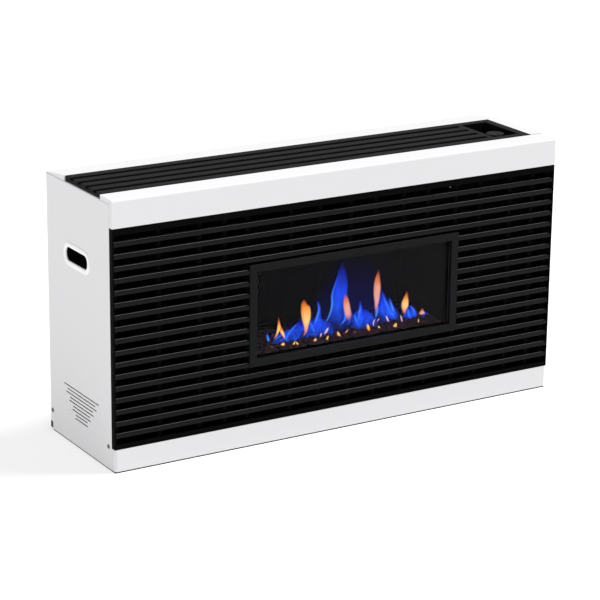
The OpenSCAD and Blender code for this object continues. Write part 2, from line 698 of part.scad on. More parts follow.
// ---- chassis -------------------------------------------------------------------------------
vent_l = 66;
vent_w = 14;
vent_end = 90;                            // middle of the end air slots from the casing's ends
vent_front_y = 58;                        // middle of the front row of air slots
vent_back_gap = 54;                       // middle of the rear row in front of the wall
vent_pitch_x = (half_w - vent_end) / 5;
vent_pitch_y = (casing_d - vent_back_gap - vent_front_y) / 4;
skid_in = 60;                             // middle of the skids from the casing's ends
skid_x = half_w - skid_in;
skid_w = 20;
skid_front_y = 40;
skid_back_gap = 20;
lip_in = 8;                               // rear lip short of the casing's folded edges
lip_h = 12;
side_h = 50;
guard_in = 8;                             // draught guards inside the folded edges
guard_over = 14;                          // guards beyond the slits, all round
screen_y = 27;                            // sheet in front of the gas valve and its pipes
screen_play = 3;                          // room at its two sides and its top
tray_screw_in = 40;
tray_screw_mid = 160;
tray_screw_gap = 8;
tray_head_r = 4;
tray_head_h = 2;
tray_tail = 1;
module base_tray() color("silver") difference() {
    union() {
        box(-panel_in, panel_in, panel_setback + sheet_t, casing_d - sheet_t, 0, sheet_t);
        box(-seat_x, seat_x, panel_setback, casing_d - sheet_t, 0, sheet_t);
        box(-seat_x, seat_x, panel_setback, panel_setback + sheet_t, 0,
            bottom_fascia_h - 2 * fascia_t);
        box(-seat_x + lip_in, seat_x - lip_in, casing_d - 2 * sheet_t, casing_d - sheet_t, 0, lip_h);
        mirrored() box(-panel_in, -panel_in + sheet_t, panel_setback + sheet_t, casing_d - sheet_t,
                       0, side_h);
        mirrored() box(-skid_x - skid_w / 2, -skid_x + skid_w / 2, skid_front_y, back_y - skid_back_gap,
                       -skid_h, sheet_t);
        mirrored() box(-seat_x + guard_in, -seat_x + guard_in + sheet_t, slit_y - slit_l[0] / 2 - guard_over,
                       slit_y + slit_l[0] / 2 + guard_over, 0, slit_top_z + guard_over);
        box(firebox_rt + screen_play, seat_x - lip_in - screen_play, screen_y, screen_y + sheet_t,
            0, top_fascia_z - screen_play);
    }
    for (ix = [-5:5], iy = [0:4])
        translate([ix * vent_pitch_x, vent_front_y + iy * vent_pitch_y, -cut])
        linear_extrude(sheet_t + 2 * cut) slot(vent_l, vent_w);
    mirrored() {
        box(-half_w, -panel_in + sheet_t + cut, casing_d - notch_d, casing_d, sheet_t, notch_h);
        box(-half_w - cut, -panel_in + sheet_t + cut, casing_d - notch_d, casing_d, -cut, sheet_t + cut);
        rod_x(-half_w, -panel_in + 2 * sheet_t, screw_front_y, screw_front_z, screw_r + seat_gap);
        rod_x(-half_w, -panel_in + 2 * sheet_t, screw_rear_y, screw_rear_z, screw_r + seat_gap);
    }
    tray_screw_places() rod_z(-cut, sheet_t + cut, 0, 0, screw_r + seat_gap);
}
module tray_screw_places() mirrored() for (x = [half_w - tray_screw_in, tray_screw_mid])
    translate([x, back_y - tray_screw_gap, 0]) children();
module tray_screws() color("silver") tray_screw_places() {
    rod_z(2 * sheet_t, 2 * sheet_t + tray_head_h, 0, 0, tray_head_r);
    rod_z(-tray_tail, 2 * sheet_t + tray_head_h / 2, 0, 0, screw_r);
}
head_h = 1.6;
panel_screw_l = 10;
module panel_screws() color("silver") mirrored() for (p = [[screw_front_y, screw_front_z],
                                                           [screw_rear_y, screw_rear_z]]) {
    rod_x(-half_w - head_h, -half_w, p[0], p[1], screw_head_r);
    rod_x(-half_w - head_h / 2, -half_w + panel_screw_l, p[0], p[1], screw_r);
}
hook_w = 50;
hook_x = 250;
hook_rise = 8;
hook_z = bracket_z + bracket_h + hook_rise; // top of the wall bracket's lip
hook_reach = 5;
hook_drop = 7;
hook_gap = 1;                             // wall bracket's lip behind the back plate
shelf_lap = 8;                            // shelf under the outlet grille's rear edge
foot_d = 16;
module back_plate() color("silver") difference() {
    union() {
        box(-panel_in, panel_in, back_y, back_rear, sheet_t, shelf_z);
        box(-seat_x, seat_x, outlet_rear_y - shelf_lap, back_rear, shelf_z - sheet_t, shelf_z);
        box(-seat_x, seat_x, back_y - foot_d, back_rear, sheet_t, 2 * sheet_t);
        mirrored() {
            box(hook_x, hook_x + hook_w, back_y, back_rear + hook_reach, hook_z, hook_z + sheet_t);
            box(hook_x, hook_x + hook_w, back_rear + hook_reach - sheet_t, back_rear + hook_reach,
                hook_z - hook_drop, hook_z + sheet_t);
        }
    }
    rod_y(back_y - cut, back_rear + cut, 0, flue_z, air_r + seat_gap);
    rod_y(back_y - cut, back_rear + cut, inlet_x, inlet_z, inlet_thread_r + seat_gap);
    mirrored() box(-half_w, -panel_in + sheet_t + seat_gap, back_y - cut, back_rear + cut, 0,
                   side_h + seat_gap);
    mirrored() rod_x(-half_w, -panel_in + 2 * sheet_t, screw_rear_y, screw_rear_z, screw_r + cut);
    tray_screw_places() rod_z(-cut, 2 * sheet_t + cut, 0, 0, screw_r + seat_gap);
}
rail_lap = 10;                            // shelf under the outlet grille's front edge
module upper_rail() color("silver") {
    box(-panel_in, panel_in, panel_setback + sheet_t, top_fascia_d + rail_lap, shelf_z - sheet_t,
        shelf_z);
    box(-seat_x, seat_x, panel_setback, panel_setback + sheet_t, top_fascia_z, shelf_z);
}
module wall_bracket() color("silver") difference() {
    union() {
        box(-bracket_w / 2, bracket_w / 2, casing_d - sheet_t, casing_d, bracket_z,
            bracket_z + bracket_h);
        box(-bracket_w / 2, bracket_w / 2, back_rear + hook_gap, casing_d, bracket_z + bracket_h - sheet_t,
            bracket_z + bracket_h);
        box(-bracket_w / 2, bracket_w / 2, back_rear + hook_gap, back_rear + hook_gap + sheet_t,
            bracket_z + bracket_h - sheet_t, hook_z);
    }
    for (x = [-bracket_slots / 2, bracket_slots / 2])
        translate([x, casing_d + cut, bracket_z + bracket_h / 2]) rotate([90, 0, 0])
        linear_extrude(sheet_t + 2 * cut) slot(bracket_slot_l, bracket_slot_w);
}
buffer_l = 16;
module wall_buffers() color("black") mirrored()
    box(-half_w, -half_w + buffer_l, casing_d - notch_d, casing_d, sheet_t, notch_h);

// ---- firebox and flue ----------------------------------------------------------------------
neck_w = retainer_w + 2 * retainer_t;
neck_h = retainer_h + 2 * retainer_t;
duct_side = 10;                           // air inlet narrower than the duct on each side
air_in_z = 12;                            // air inlet above the firebox's underside
air_in_h = 32;
mouth_r = 9;                              // burner mouth in the firebox's end
lead_room = 6;                            // opening round the pipes and leads
module firebox() color("dimgray") difference() {
    union() {
        box(firebox_l, firebox_rt, firebox_front_y, firebox_rear_y, firebox_z, firebox_top_z);
        at_window() along_y(seat_y, firebox_front_y + cut) rect(neck_w, neck_h);
        at_window() along_y(seat_y, seat_y + sheet_t) rect(bezel_w, bezel_h);
    }
    box(firebox_l + firebox_t, firebox_rt - firebox_t, firebox_front_y + firebox_t,
        firebox_rear_y - firebox_t, firebox_z + firebox_t, firebox_top_z - firebox_t);
    at_window() along_y(seat_y + sheet_t, firebox_front_y + firebox_t + cut)
        rect(neck_w - 2 * firebox_t, neck_h - 2 * firebox_t);
    at_window() along_y(seat_y - cut, firebox_front_y)
        rect(glass_w - 2 * gasket_w, glass_h - 2 * gasket_w);
    m3_places() rod_y(seat_y - cut, seat_y + sheet_t + cut, 0, 0, m3_r + 0.1);
    rod_y(firebox_rear_y - firebox_t - cut, firebox_rear_y + cut, 0, flue_z, flue_r + seat_gap);
    box(-duct_w / 2 + duct_side, duct_w / 2 - duct_side, firebox_rear_y - firebox_t - cut,
        firebox_rear_y + cut, firebox_z + air_in_z, firebox_z + air_in_z + air_in_h);
    rod_x(firebox_rt - firebox_t - cut, firebox_rt + cut, burner_y, burner_z, mouth_r);
    box(firebox_rt - firebox_t - cut, firebox_rt + cut, spark_y - lead_room, probe_y + lead_room,
        lead_z - lead_room, lead_z + lead_room);
}
leg_in = 25;
leg_w = 30;
part_in = 10;                             // legs and fins inside the firebox's front and rear
part_front_y = firebox_front_y + part_in;
part_rear_y = firebox_rear_y - part_in;
module firebox_legs() color("silver") for (x = [firebox_l + leg_in, firebox_rt - leg_in - leg_w]) {
    box(x, x + sheet_t, part_front_y, part_rear_y, sheet_t, firebox_z);
    box(x, x + leg_w, part_front_y, part_rear_y, firebox_z - sheet_t, firebox_z);
    box(x, x + leg_w, part_front_y, part_rear_y, sheet_t, 2 * sheet_t);
}
module firebox_fins() color("dimgray") for (i = [0:fin_count - 1])
    let (x = window_x + (i - (fin_count - 1) / 2) * fin_pitch)
    box(x - fin_t / 2, x + fin_t / 2, part_front_y, part_rear_y, firebox_top_z, firebox_top_z + fin_h);
baffle_back = 10;                         // front edge of the baffle behind the burner axis
module flue_baffle() color("dimgray")
    box(firebox_l + firebox_t, firebox_rt - firebox_t, burner_y + baffle_back,
        firebox_rear_y - firebox_t, baffle_z, baffle_z + sheet_t);
duct_gap = 3;
duct_over = 10;
duct_rear = back_y - duct_gap;
duct_low = firebox_z + firebox_t;
duct_high = flue_z + air_r + duct_over;
module air_duct() color("silver") difference() {
    union() {
        box(-duct_w / 2, duct_w / 2, firebox_rear_y, duct_rear, duct_low, duct_high);
    }
    box(-duct_w / 2 + duct_t, duct_w / 2 - duct_t, firebox_rear_y - cut, duct_rear - duct_t,
        duct_low + duct_t, duct_high - duct_t);
    rod_y(duct_rear - duct_t - cut, duct_rear + cut, 0, flue_z, air_r + seat_gap);
}
flue_flange_r = 40;
module flue_pipe() color("silver") difference() {
    union() {
        rod_y(firebox_rear_y - firebox_t, row_d, 0, flue_z, flue_r);
        rod_y(firebox_rear_y, firebox_rear_y + sheet_t, 0, flue_z, flue_flange_r);
    }
    rod_y(firebox_rear_y - firebox_t - cut, row_d + cut, 0, flue_z, flue_r - flue_t);
}
air_lap = 6;                              // air pipe inside the duct
swage = 2;                                // the air pipe is wider where the wall seal sits
module air_pipe() color("silver") difference() {
    union() {
        rod_y(duct_rear - air_lap, row_d, 0, flue_z, air_r);
        rod_y(back_rear, back_rear + sheet_t, 0, flue_z, air_flange_r);
        rod_y(back_rear, casing_d, 0, flue_z, air_r + swage);
    }
    rod_y(duct_rear - air_lap - cut, row_d + cut, 0, flue_z, air_r - flue_t);
}
module flue_seal() color("gray") difference() {
    rod_y(back_rear + sheet_t, casing_d, 0, flue_z, air_flange_r);
    rod_y(back_rear, casing_d + cut, 0, flue_z, air_r + swage + seat_gap);
}
shield_gap = 16;
shield_t = 1;
shield_over = 20;                         // heat shield above the firebox
shield_play = 2;                          // cut-out round the air duct
post_in = 20;
post_r = 4;
shield_y = firebox_rear_y + shield_gap;
module heat_shield() color("silver") {
    difference() {
        box(firebox_l, firebox_rt, shield_y, shield_y + shield_t, firebox_z, firebox_top_z + shield_over);
        box(-duct_w / 2 - shield_play, duct_w / 2 + shield_play, shield_y - cut,
            shield_y + shield_t + cut, firebox_z - cut, duct_high + shield_play);
    }
    for (x = [firebox_l + post_in, firebox_rt - post_in],
         z = [firebox_z + post_in, firebox_top_z - post_in])
        rod_y(shield_y, back_y, x, z, post_r);
}

// ---- burner --------------------------------------------------------------------------------
port_x0 = burner_left_x + port_end;
port_floor = 3;
module burner_tube() color("silver") difference() {
    rod_x(burner_left_x, burner_right_x, burner_y, burner_z, burner_r);
    rod_x(burner_left_x + burner_t, burner_right_x + cut, burner_y, burner_z, burner_r - burner_t);
    for (i = [0:port_count - 1])
        rod_z(burner_z + burner_r - port_floor, burner_z + burner_r + cut, port_x0 + i * port_pitch, burner_y,
              port_r);
}
cradle_t = 3;
cradle_left_in = 40;
cradle_right_in = 36;
cradle_side = 5;
module burner_cradles() color("silver") difference() {
    for (x = [burner_left_x + cradle_left_in, burner_right_x - cradle_right_in])
        box(x, x + cradle_t, burner_y - burner_r - cradle_side, burner_y + burner_r + cradle_side,
            firebox_z + firebox_t, burner_z);
    rod_x(burner_left_x, burner_right_x, burner_y, burner_z, burner_r + seat_gap);
}
holder_w = 50;
holder_h = 36;
boss_r = 11;
holder_l = 16;
nozzle_r = 5;
nozzle_lap = 8;                           // injector's end inside the holder's boss
holder_t = 3;
holder_cut = 8;
module injector_holder() color("silver") difference() {
    union() {
        box(firebox_rt, firebox_rt + holder_t, burner_y - holder_w / 2,
            burner_y + holder_w / 2 - holder_cut, burner_z - holder_h / 2 + holder_cut,
            burner_z + holder_h / 2);
        rod_x(firebox_rt, firebox_rt + holder_l, burner_y, burner_z, boss_r);
    }
    rod_x(firebox_rt - cut, firebox_rt + holder_l - nozzle_lap, burner_y, burner_z,
          nozzle_r + seat_gap);
    rod_x(firebox_rt - cut, firebox_rt + holder_l + cut, burner_y, burner_z, feed_r - pipe_t);
}
nozzle_gap = 3;                           // injector's tip from the burner tube's open end
nozzle_left = burner_right_x + nozzle_gap;
hex_r = 7;
hex_l = 6;
jet_r = 1;
jet_l = 8;
module injector() color("gold") difference() {
    union() {
        rod_x(nozzle_left + hex_l - cut, firebox_rt + holder_l - nozzle_lap, burner_y, burner_z, nozzle_r);
        translate([nozzle_left, burner_y, burner_z]) rotate([0, 90, 0])
            cylinder(h = hex_l, r = hex_r, $fn = 6);
    }
    rod_x(nozzle_left - cut, firebox_rt + holder_l, burner_y, burner_z, jet_r);
    rod_x(nozzle_left + jet_l, firebox_rt + holder_l, burner_y, burner_z, nozzle_r - 2 * jet_r);
}
flame_slot = 9;
tray_rim = 6;
pilot_room = 10;
module ember_tray() color("dimgray") difference() {
    union() {
        box(tray_left_x, tray_right_x, tray_front_y, tray_rear_y, tray_z, tray_top);
        box(tray_left_x, tray_left_x + sheet_t, tray_front_y, tray_rear_y, firebox_z + firebox_t,
            tray_top + tray_rim);
        box(tray_right_x - sheet_t, tray_right_x, tray_front_y, tray_rear_y, firebox_z + firebox_t,
            tray_top + tray_rim);
        box(tray_left_x, tray_right_x, tray_front_y, tray_front_y + sheet_t, tray_z, tray_top + tray_rim);
        box(tray_left_x, tray_right_x, tray_rear_y - sheet_t, tray_rear_y, tray_z, tray_top + tray_rim);
    }
    box(burner_left_x, burner_right_x, burner_y - flame_slot, burner_y + flame_slot, tray_z - cut,
        tray_top + cut);
    box(pilot_x - pilot_room, pilot_x + pilot_room, spark_y - lead_room, probe_y + lead_room,
        tray_z - cut, tray_top + cut);
    rod_x(tray_right_x - sheet_t - cut, tray_right_x + cut, burner_y, burner_z, burner_r - burner_t);
    box(tray_right_x - sheet_t - cut, tray_right_x + cut, spark_y - lead_room, probe_y + lead_room,
        lead_z - lead_room, lead_z + lead_room);
}
// hexagonal stones of mixed size and turn, none over the flame slot or the pilot group
function mix(i, j) = abs(sin(i * 127.1 + j * 311.7 + 40));
stone_px = (tray_right_x - tray_left_x - 4 * sheet_t) / stone_columns;
stone_py = (tray_rear_y - tray_front_y - 4 * sheet_t) / stone_rows;
module ember_stones() color("brown") for (i = [0:stone_columns - 1], j = [0:stone_rows - 1])
    let (x = tray_left_x + 2 * sheet_t + (i + 0.5) * stone_px,
         y = tray_front_y + 2 * sheet_t + (j + 0.5) * stone_py,
         r = stone_r * (0.8 + 0.2 * mix(i, j)))
    if (abs(y - burner_y) > flame_slot + r || x < burner_left_x - r)
        if (abs(x - pilot_x) > pilot_room + r || y < spark_y - lead_room - r || y > probe_y + lead_room + r)
            translate([x, y, tray_top]) rotate([0, 0, 60 * mix(j, i)])
            cylinder(h = stone_h * (0.6 + 0.4 * mix(i + 3, j)), r1 = r, r2 = r, $fn = 6);
floor_z = firebox_z + firebox_t;
pilot_base_w = 16;
pilot_base_t = 2;
pilot_base_side = 5;
pilot_r = 4;
hood_r = 5;
hood_h = 5;
module pilot_burner() color("silver") {
    box(pilot_x - pilot_base_w / 2, pilot_x + pilot_base_w / 2, spark_y - pilot_base_side,
        probe_y + pilot_base_side, floor_z, floor_z + pilot_base_t);
    rod_z(floor_z, tray_top + pilot_r, pilot_x, pilot_y, pilot_r);
    rod_z(tray_top + pilot_r, tray_top + pilot_r + hood_h, pilot_x, pilot_y, hood_r);
}
electrode_r = 3;
electrode_up = 2;
wire_r = 0.8;
wire_up = 12;
module spark_electrode() color("white") {
    rod_z(floor_z + pilot_base_t, tray_top + electrode_up, pilot_x, spark_y, electrode_r);
    rod_z(tray_top, tray_top + wire_up, pilot_x, spark_y, wire_r);
}
probe_r = 2.5;
probe_up = 10;
ferrule_h = 15;
ferrule_t = 1;
lead_gap = 46;                            // first riser beside the firebox
probe_run = 30;                           // thermocouple lead's riser beyond the first
pilot_run = 15;                           // pilot pipe's riser beyond the first
spark_run = -32;                          // ignition lead's riser
feed_run = -16;                           // feed pipe's riser
lead_x = firebox_rt + lead_gap;
probe_drop = 8;                           // thermocouple's end below the gas valve's top
lead_bend = 8;
module thermocouple() color("peru") {
    rod_z(floor_z + pilot_base_t + ferrule_h - ferrule_t, tray_top + probe_up, pilot_x, probe_y, probe_r);
    rod_z(floor_z + pilot_base_t, floor_z + pilot_base_t + ferrule_h, pilot_x, probe_y,
          probe_r + ferrule_t);
    pipe([[pilot_x, probe_y, lead_z], [lead_x + probe_run, probe_y, lead_z],
          [lead_x + probe_run, probe_y, valve_top - probe_drop],
          [knob_x - valve_w / 2, probe_y, valve_top - probe_drop]], probe_lead_r, lead_bend);
}
gland_side = 12;
gland_t = 2;
gland_low = 10;
gland_high = 12;
module gland_plate() color("silver") difference() {
    box(firebox_rt, firebox_rt + gland_t, spark_y - gland_side, probe_y + gland_side,
        lead_z - gland_low, lead_z + gland_high);
    for (h = [[pilot_y, pilot_pipe_r], [probe_y, probe_lead_r], [spark_y, spark_lead_r]])
        rod_x(firebox_rt - cut, firebox_rt + gland_t + cut, h[0], lead_z, h[1] + seat_gap);
}

// ---- gas line ------------------------------------------------------------------------------
port_z = valve_z + valve_h / 2;
socket_l = 10;                            // pipe sockets beyond the valve's body
socket_t = 4;
socket_d = 4;
module gas_valve() color("silver") difference() {
    union() {
        box(knob_x - valve_w / 2, knob_x + valve_w / 2, knob_y - valve_d / 2, knob_y + valve_d / 2,
            valve_z, valve_top);
        rod_z(valve_top - cut, bonnet_top, knob_x, knob_y, bonnet_r);
        rod_x(knob_x - valve_w / 2 - socket_l, knob_x, knob_y, port_z, feed_r + socket_t);
        rod_y(knob_y, knob_y + valve_d / 2 + socket_l, inlet_x, port_z, inlet_r + socket_t);
    }
    rod_z(bonnet_floor, bonnet_top + cut, knob_x, knob_y, bonnet_bore_r);
    rod_x(knob_x - valve_w / 2 - socket_l - cut, knob_x - valve_w / 2 + socket_d, knob_y, port_z,
          feed_r + seat_gap);
    rod_y(knob_y + valve_d / 2 - socket_d, knob_y + valve_d / 2 + socket_l + cut, inlet_x, port_z,
          inlet_r + seat_gap);
}
shelf_side = 1;                           // valve bracket wider than the valve on each side
shelf_w = valve_w + 2 * shelf_side;
shelf_front = 4;
stay_h = 70;
stay_tip = 8;
stay_in = 10;
hole_play = 1;
module valve_bracket() color("silver") difference() {
    union() {
        box(knob_x - shelf_w / 2, knob_x + shelf_w / 2, knob_y - valve_d / 2 - shelf_front, back_y,
            valve_z - sheet_t, valve_z);
        box(knob_x - shelf_w / 2, knob_x + shelf_w / 2, back_y - sheet_t, back_y, valve_z - stay_h,
            valve_z);
        for (x = [knob_x - shelf_w / 2, knob_x + shelf_w / 2 - sheet_t])
            along_x(x, x + sheet_t) polygon([[back_y, valve_z - stay_h], [back_y, valve_z],
                [knob_y - valve_d / 2 + stay_in, valve_z],
                [knob_y - valve_d / 2 + stay_in, valve_z - stay_tip]]);
    }
    rod_z(valve_z - sheet_t - cut, valve_z + cut, inlet_x, inlet_bend_y, inlet_r + hole_play);
}
inlet_bend_gap = 62;
inlet_bend_y = back_y - inlet_bend_gap;
feed_x = lead_x + feed_run;
feed_bend = 13;
pipe_in = 2;                              // feed pipe's end inside the valve's socket
module feed_route(r) pipe([[knob_x - valve_w / 2 + pipe_in, knob_y, port_z], [feed_x, knob_y, port_z],
    [feed_x, knob_y, burner_z], [feed_x, burner_y, burner_z],
    [firebox_rt + holder_l, burner_y, burner_z]], r, feed_bend);
module feed_pipe() color("silver") difference() {
    feed_route(feed_r);
    feed_route(feed_r - pipe_t);
}
inlet_in = 3;                             // inlet pipe's end inside the valve's socket
inlet_out = 8;                            // its other end in front of the back plate
inlet_bend = 18;
module inlet_route(r) pipe([[inlet_x, knob_y + valve_d / 2 - inlet_in, port_z],
    [inlet_x, inlet_bend_y, port_z], [inlet_x, inlet_bend_y, inlet_z],
    [inlet_x, back_y - inlet_out, inlet_z]], r, inlet_bend);
module inlet_pipe() color("silver") difference() {
    inlet_route(inlet_r);
    inlet_route(inlet_r - pipe_t);
}
fitting_l = 14;                           // inlet fitting inside the back plate
collar_t = 2.5;
collar_side = 3;
fitting_hex_l = 12;
fitting_hex_r = 15.5;
module inlet_fitting() color("gold") difference() {
    union() {
        rod_y(back_y - fitting_l, casing_d + inlet_reach, inlet_x, inlet_z, inlet_thread_r);
        rod_y(back_rear, back_rear + collar_t, inlet_x, inlet_z, inlet_thread_r + collar_side);
        translate([inlet_x, back_y, inlet_z]) rotate([90, 0, 0])
            cylinder(h = fitting_hex_l, r = fitting_hex_r, $fn = 6);
    }
    rod_y(back_y - fitting_l - cut, casing_d + inlet_reach + cut, inlet_x, inlet_z, inlet_r - pipe_t);
    rod_y(back_y - fitting_l - cut, back_y - inlet_out + seat_gap, inlet_x, inlet_z,
          inlet_r + seat_gap);
}
pilot_port = 12;                          // pilot pipe's port above the valve's underside
pilot_bend = 10;
module pilot_pipe() color("silver")
    pipe([[pilot_x + pilot_r, pilot_y, lead_z], [lead_x + pilot_run, pilot_y, lead_z],
          [lead_x + pilot_run, pilot_y, valve_z + pilot_port],
          [knob_x - valve_w / 2, pilot_y, valve_z + pilot_port]], pilot_pipe_r, pilot_bend);
spark_x = lead_x + spark_run;
spark_drop = 12;                          // ignition lead's run below the igniter
spark_bend = 9;
module ignition_lead() color("black")
    pipe([[pilot_x + electrode_r, spark_y, lead_z], [spark_x, spark_y, lead_z],
          [spark_x, spark_y, igniter_low - spark_drop], [spark_x, button_y, igniter_low - spark_drop],
          [knob_x, button_y, igniter_low - spark_drop], [knob_x, button_y, igniter_low]],
         spark_lead_r, spark_bend);
bulb_in = 30;                             // thermostat bulb's left end from the firebox
bulb_x = firebox_rt + bulb_in;
bulb_y = 42;
bulb_z = 70;
module thermostat_bulb() color("peru") {
    rod_x(bulb_x, bulb_x + bulb_l, bulb_y, bulb_z, bulb_r);
    pipe([[bulb_x + bulb_l - cut, bulb_y, bulb_z], [capillary_x, bulb_y, bulb_z],
          [capillary_x, bulb_y, valve_z + capillary_port],
          [capillary_x, capillary_y, valve_z + capillary_port],
          [knob_x + valve_w / 2, capillary_y, valve_z + capillary_port]], capillary_r, capillary_bend);
}
capillary_gap = 12;                       // capillary's riser beside the gas valve
capillary_port = 14;
capillary_ahead = 12;
capillary_bend = 5;
capillary_x = knob_x + valve_w / 2 + capillary_gap;
capillary_y = knob_y - capillary_ahead;
clip_t = 1;
clip_w = 8;
clip_in = 15;
module bulb_clips() color("silver")
    for (x = [bulb_x + clip_in, bulb_x + bulb_l - clip_in - clip_w]) difference() {
        union() {
            box(x, x + clip_w, bulb_y - clip_t / 2, bulb_y + clip_t / 2, sheet_t, bulb_z - bulb_r);
            box(x, x + clip_w, bulb_y - clip_w, bulb_y + clip_t / 2, sheet_t, sheet_t + clip_t);
            rod_x(x, x + clip_w, bulb_y, bulb_z, bulb_r + seat_gap + clip_t);
        }
        rod_x(x - cut, x + clip_w + cut, bulb_y, bulb_z, bulb_r + seat_gap);
    }

// ---- moving controls -----------------------------------------------------------------------
spindle_gap = 5;
spindle_low = bonnet_floor + spindle_gap;
knob_roof = 4;                            // material over the spindle inside the knob
spring_mean_r = 6.6;
spring_wire = 0.6;
module valve_spindle() color("gold") {
    rod_z(spindle_low, knob_z + knob_h - knob_roof, knob_x, knob_y, spindle_r);
    rod_z(collar_z + collar_h, collar_z + collar_h + shoulder_h, knob_x, knob_y, shoulder_r);
}
module push_collar() color("silver") difference() {
    rod_z(collar_z, collar_z + collar_h, knob_x, knob_y, bonnet_bore_r - run_gap);
    rod_z(collar_z - cut, collar_z + collar_h + cut, knob_x, knob_y, spindle_r + run_gap);
}
module return_spring() color("silver") translate([knob_x, knob_y, bonnet_floor])
    coil(spring_mean_r, spring_wire, collar_z - bonnet_floor, 5);
flute_out = 0.6;                          // flutes' axes outside the knob's rim
groove_w = 1.6;
groove_d = 1;
groove_in = 6;
module control_knob() color("black") difference() {
    union() {
        rod_z(knob_z, knob_z + knob_skirt_h, knob_x, knob_y, knob_skirt_r);
        rod_z(knob_z, knob_z + knob_h, knob_x, knob_y, knob_r);
    }
    for (i = [1:knob_flutes - 1]) let (a = i * 360 / knob_flutes - 90)
        rod_z(knob_z + knob_skirt_h, knob_z + knob_h + cut, knob_x + (knob_r + flute_out) * cos(a),
              knob_y + (knob_r + flute_out) * sin(a), flute_r);
    rod_z(knob_z - cut, knob_z + knob_h - knob_roof + seat_gap, knob_x, knob_y, spindle_r + run_gap);
    // a groove on top points to the setting
    box(knob_x - groove_w / 2, knob_x + groove_w / 2, knob_y - knob_r - cut, knob_y - groove_in,
        knob_z + knob_h - groove_d, knob_z + knob_h + cut);
}
igniter_low = well_floor_z - igniter_l;
button_low = igniter_top - button_stem;
igniter_base = 12;
igniter_floor = igniter_low + igniter_base;
nut_h = 5;
nut_r = 13;
button_mean_r = 4.4;
button_wire = 0.5;
module igniter_body() color("black") difference() {
    union() {
        rod_z(well_floor_z, igniter_top, knob_x, button_y, igniter_collar_r);
        rod_z(igniter_low, igniter_top, knob_x, button_y, igniter_r);
    }
    rod_z(igniter_floor, igniter_top + cut, knob_x, button_y, button_r + run_gap);
}
module igniter_nut() color("black") difference() {
    translate([knob_x, button_y, well_floor_z - well_t - nut_h]) cylinder(h = nut_h, r = nut_r, $fn = 6);
    rod_z(well_floor_z - well_t - nut_h - cut, well_floor_z, knob_x, button_y, igniter_r + seat_gap);
}
module ignition_button() color("red")
    rod_z(button_low, igniter_top + button_up, knob_x, button_y, button_r);
module button_spring() color("silver") translate([knob_x, button_y, igniter_floor])
    coil(button_mean_r, button_wire, button_low - igniter_floor, 6);

// ---- grips ---------------------------------------------------------------------------------
module at_grip(x0, x1) along_x(x0, x1) translate([grip_y, grip_z]) children();
neck_side = 2;                            // ring's neck through the panel, wider than the opening
cup_side = 10;                            // cup's flange behind the panel
module grip_rings() color("white") mirrored() difference() {
    union() {
        at_grip(-half_w - ring_t, -half_w)
            round_rect(grip_l + 2 * ring_w, grip_h + 2 * ring_w, grip_r + ring_w);
        at_grip(-half_w - cut, -panel_in)
            round_rect(grip_l + 2 * (neck_side - seat_gap), grip_h + 2 * (neck_side - seat_gap),
                       grip_r + neck_side - seat_gap);
    }
    at_grip(-half_w - ring_t - cut, -panel_in + cut) round_rect(grip_l, grip_h, grip_r);
}
module grip_cups() color("black") mirrored() difference() {
    union() {
        at_grip(-panel_in, -panel_in + cup_t)
            round_rect(grip_l + 2 * cup_side, grip_h + 2 * cup_side, grip_r);
        at_grip(-panel_in, -panel_in + cup_d)
            round_rect(grip_l + 2 * cup_t, grip_h + 2 * cup_t, grip_r + cup_t);
    }
    at_grip(-panel_in - cut, -panel_in + cup_d - cup_t) round_rect(grip_l, grip_h, grip_r);
}

// ---- pieces --------------------------------------------------------------------------------
place() left_side_panel();
place() right_side_panel();
place() top_fascia();
place() bottom_fascia();
place() rear_rail();
place() outlet_grille();
place() control_well();
place() grille_frame();
place() grille_slats();
place() grille_ribs();
place() window_bezel();
place() window_glass();
place() glass_seal();
place() glass_retainer();
place() retainer_screws();
place() base_tray();
place() back_plate();
place() upper_rail();
place() wall_bracket();
place() wall_buffers();
place() firebox();
place() firebox_legs();
place() firebox_fins();
place() flue_baffle();
place() air_duct();
place() flue_pipe();
place() air_pipe();
place() flue_seal();
place() heat_shield();
place() burner_tube();
place() burner_cradles();
place() injector_holder();
place() injector();
place() ember_tray();
place() ember_stones();
place() pilot_burner();
place() spark_electrode();
place() thermocouple();
place() gland_plate();
place() gas_valve();
place() valve_bracket();
place() feed_pipe();
place() inlet_pipe();
place() inlet_fitting();
place() pilot_pipe();
place() ignition_lead();
place() thermostat_bulb();
place() bulb_clips();
place() valve_spindle();
place() push_collar();
place() return_spring();
place() control_knob();
place() igniter_body();
place() igniter_nut();
place() ignition_button();
place() button_spring();
place() grip_rings();
place() grip_cups();
place() panel_screws();
place() tray_screws();
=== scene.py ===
import json
import math

import bmesh
import bpy
import numpy as np
from mathutils import Matrix, Vector
from mathutils.geometry import tessellate_polygon


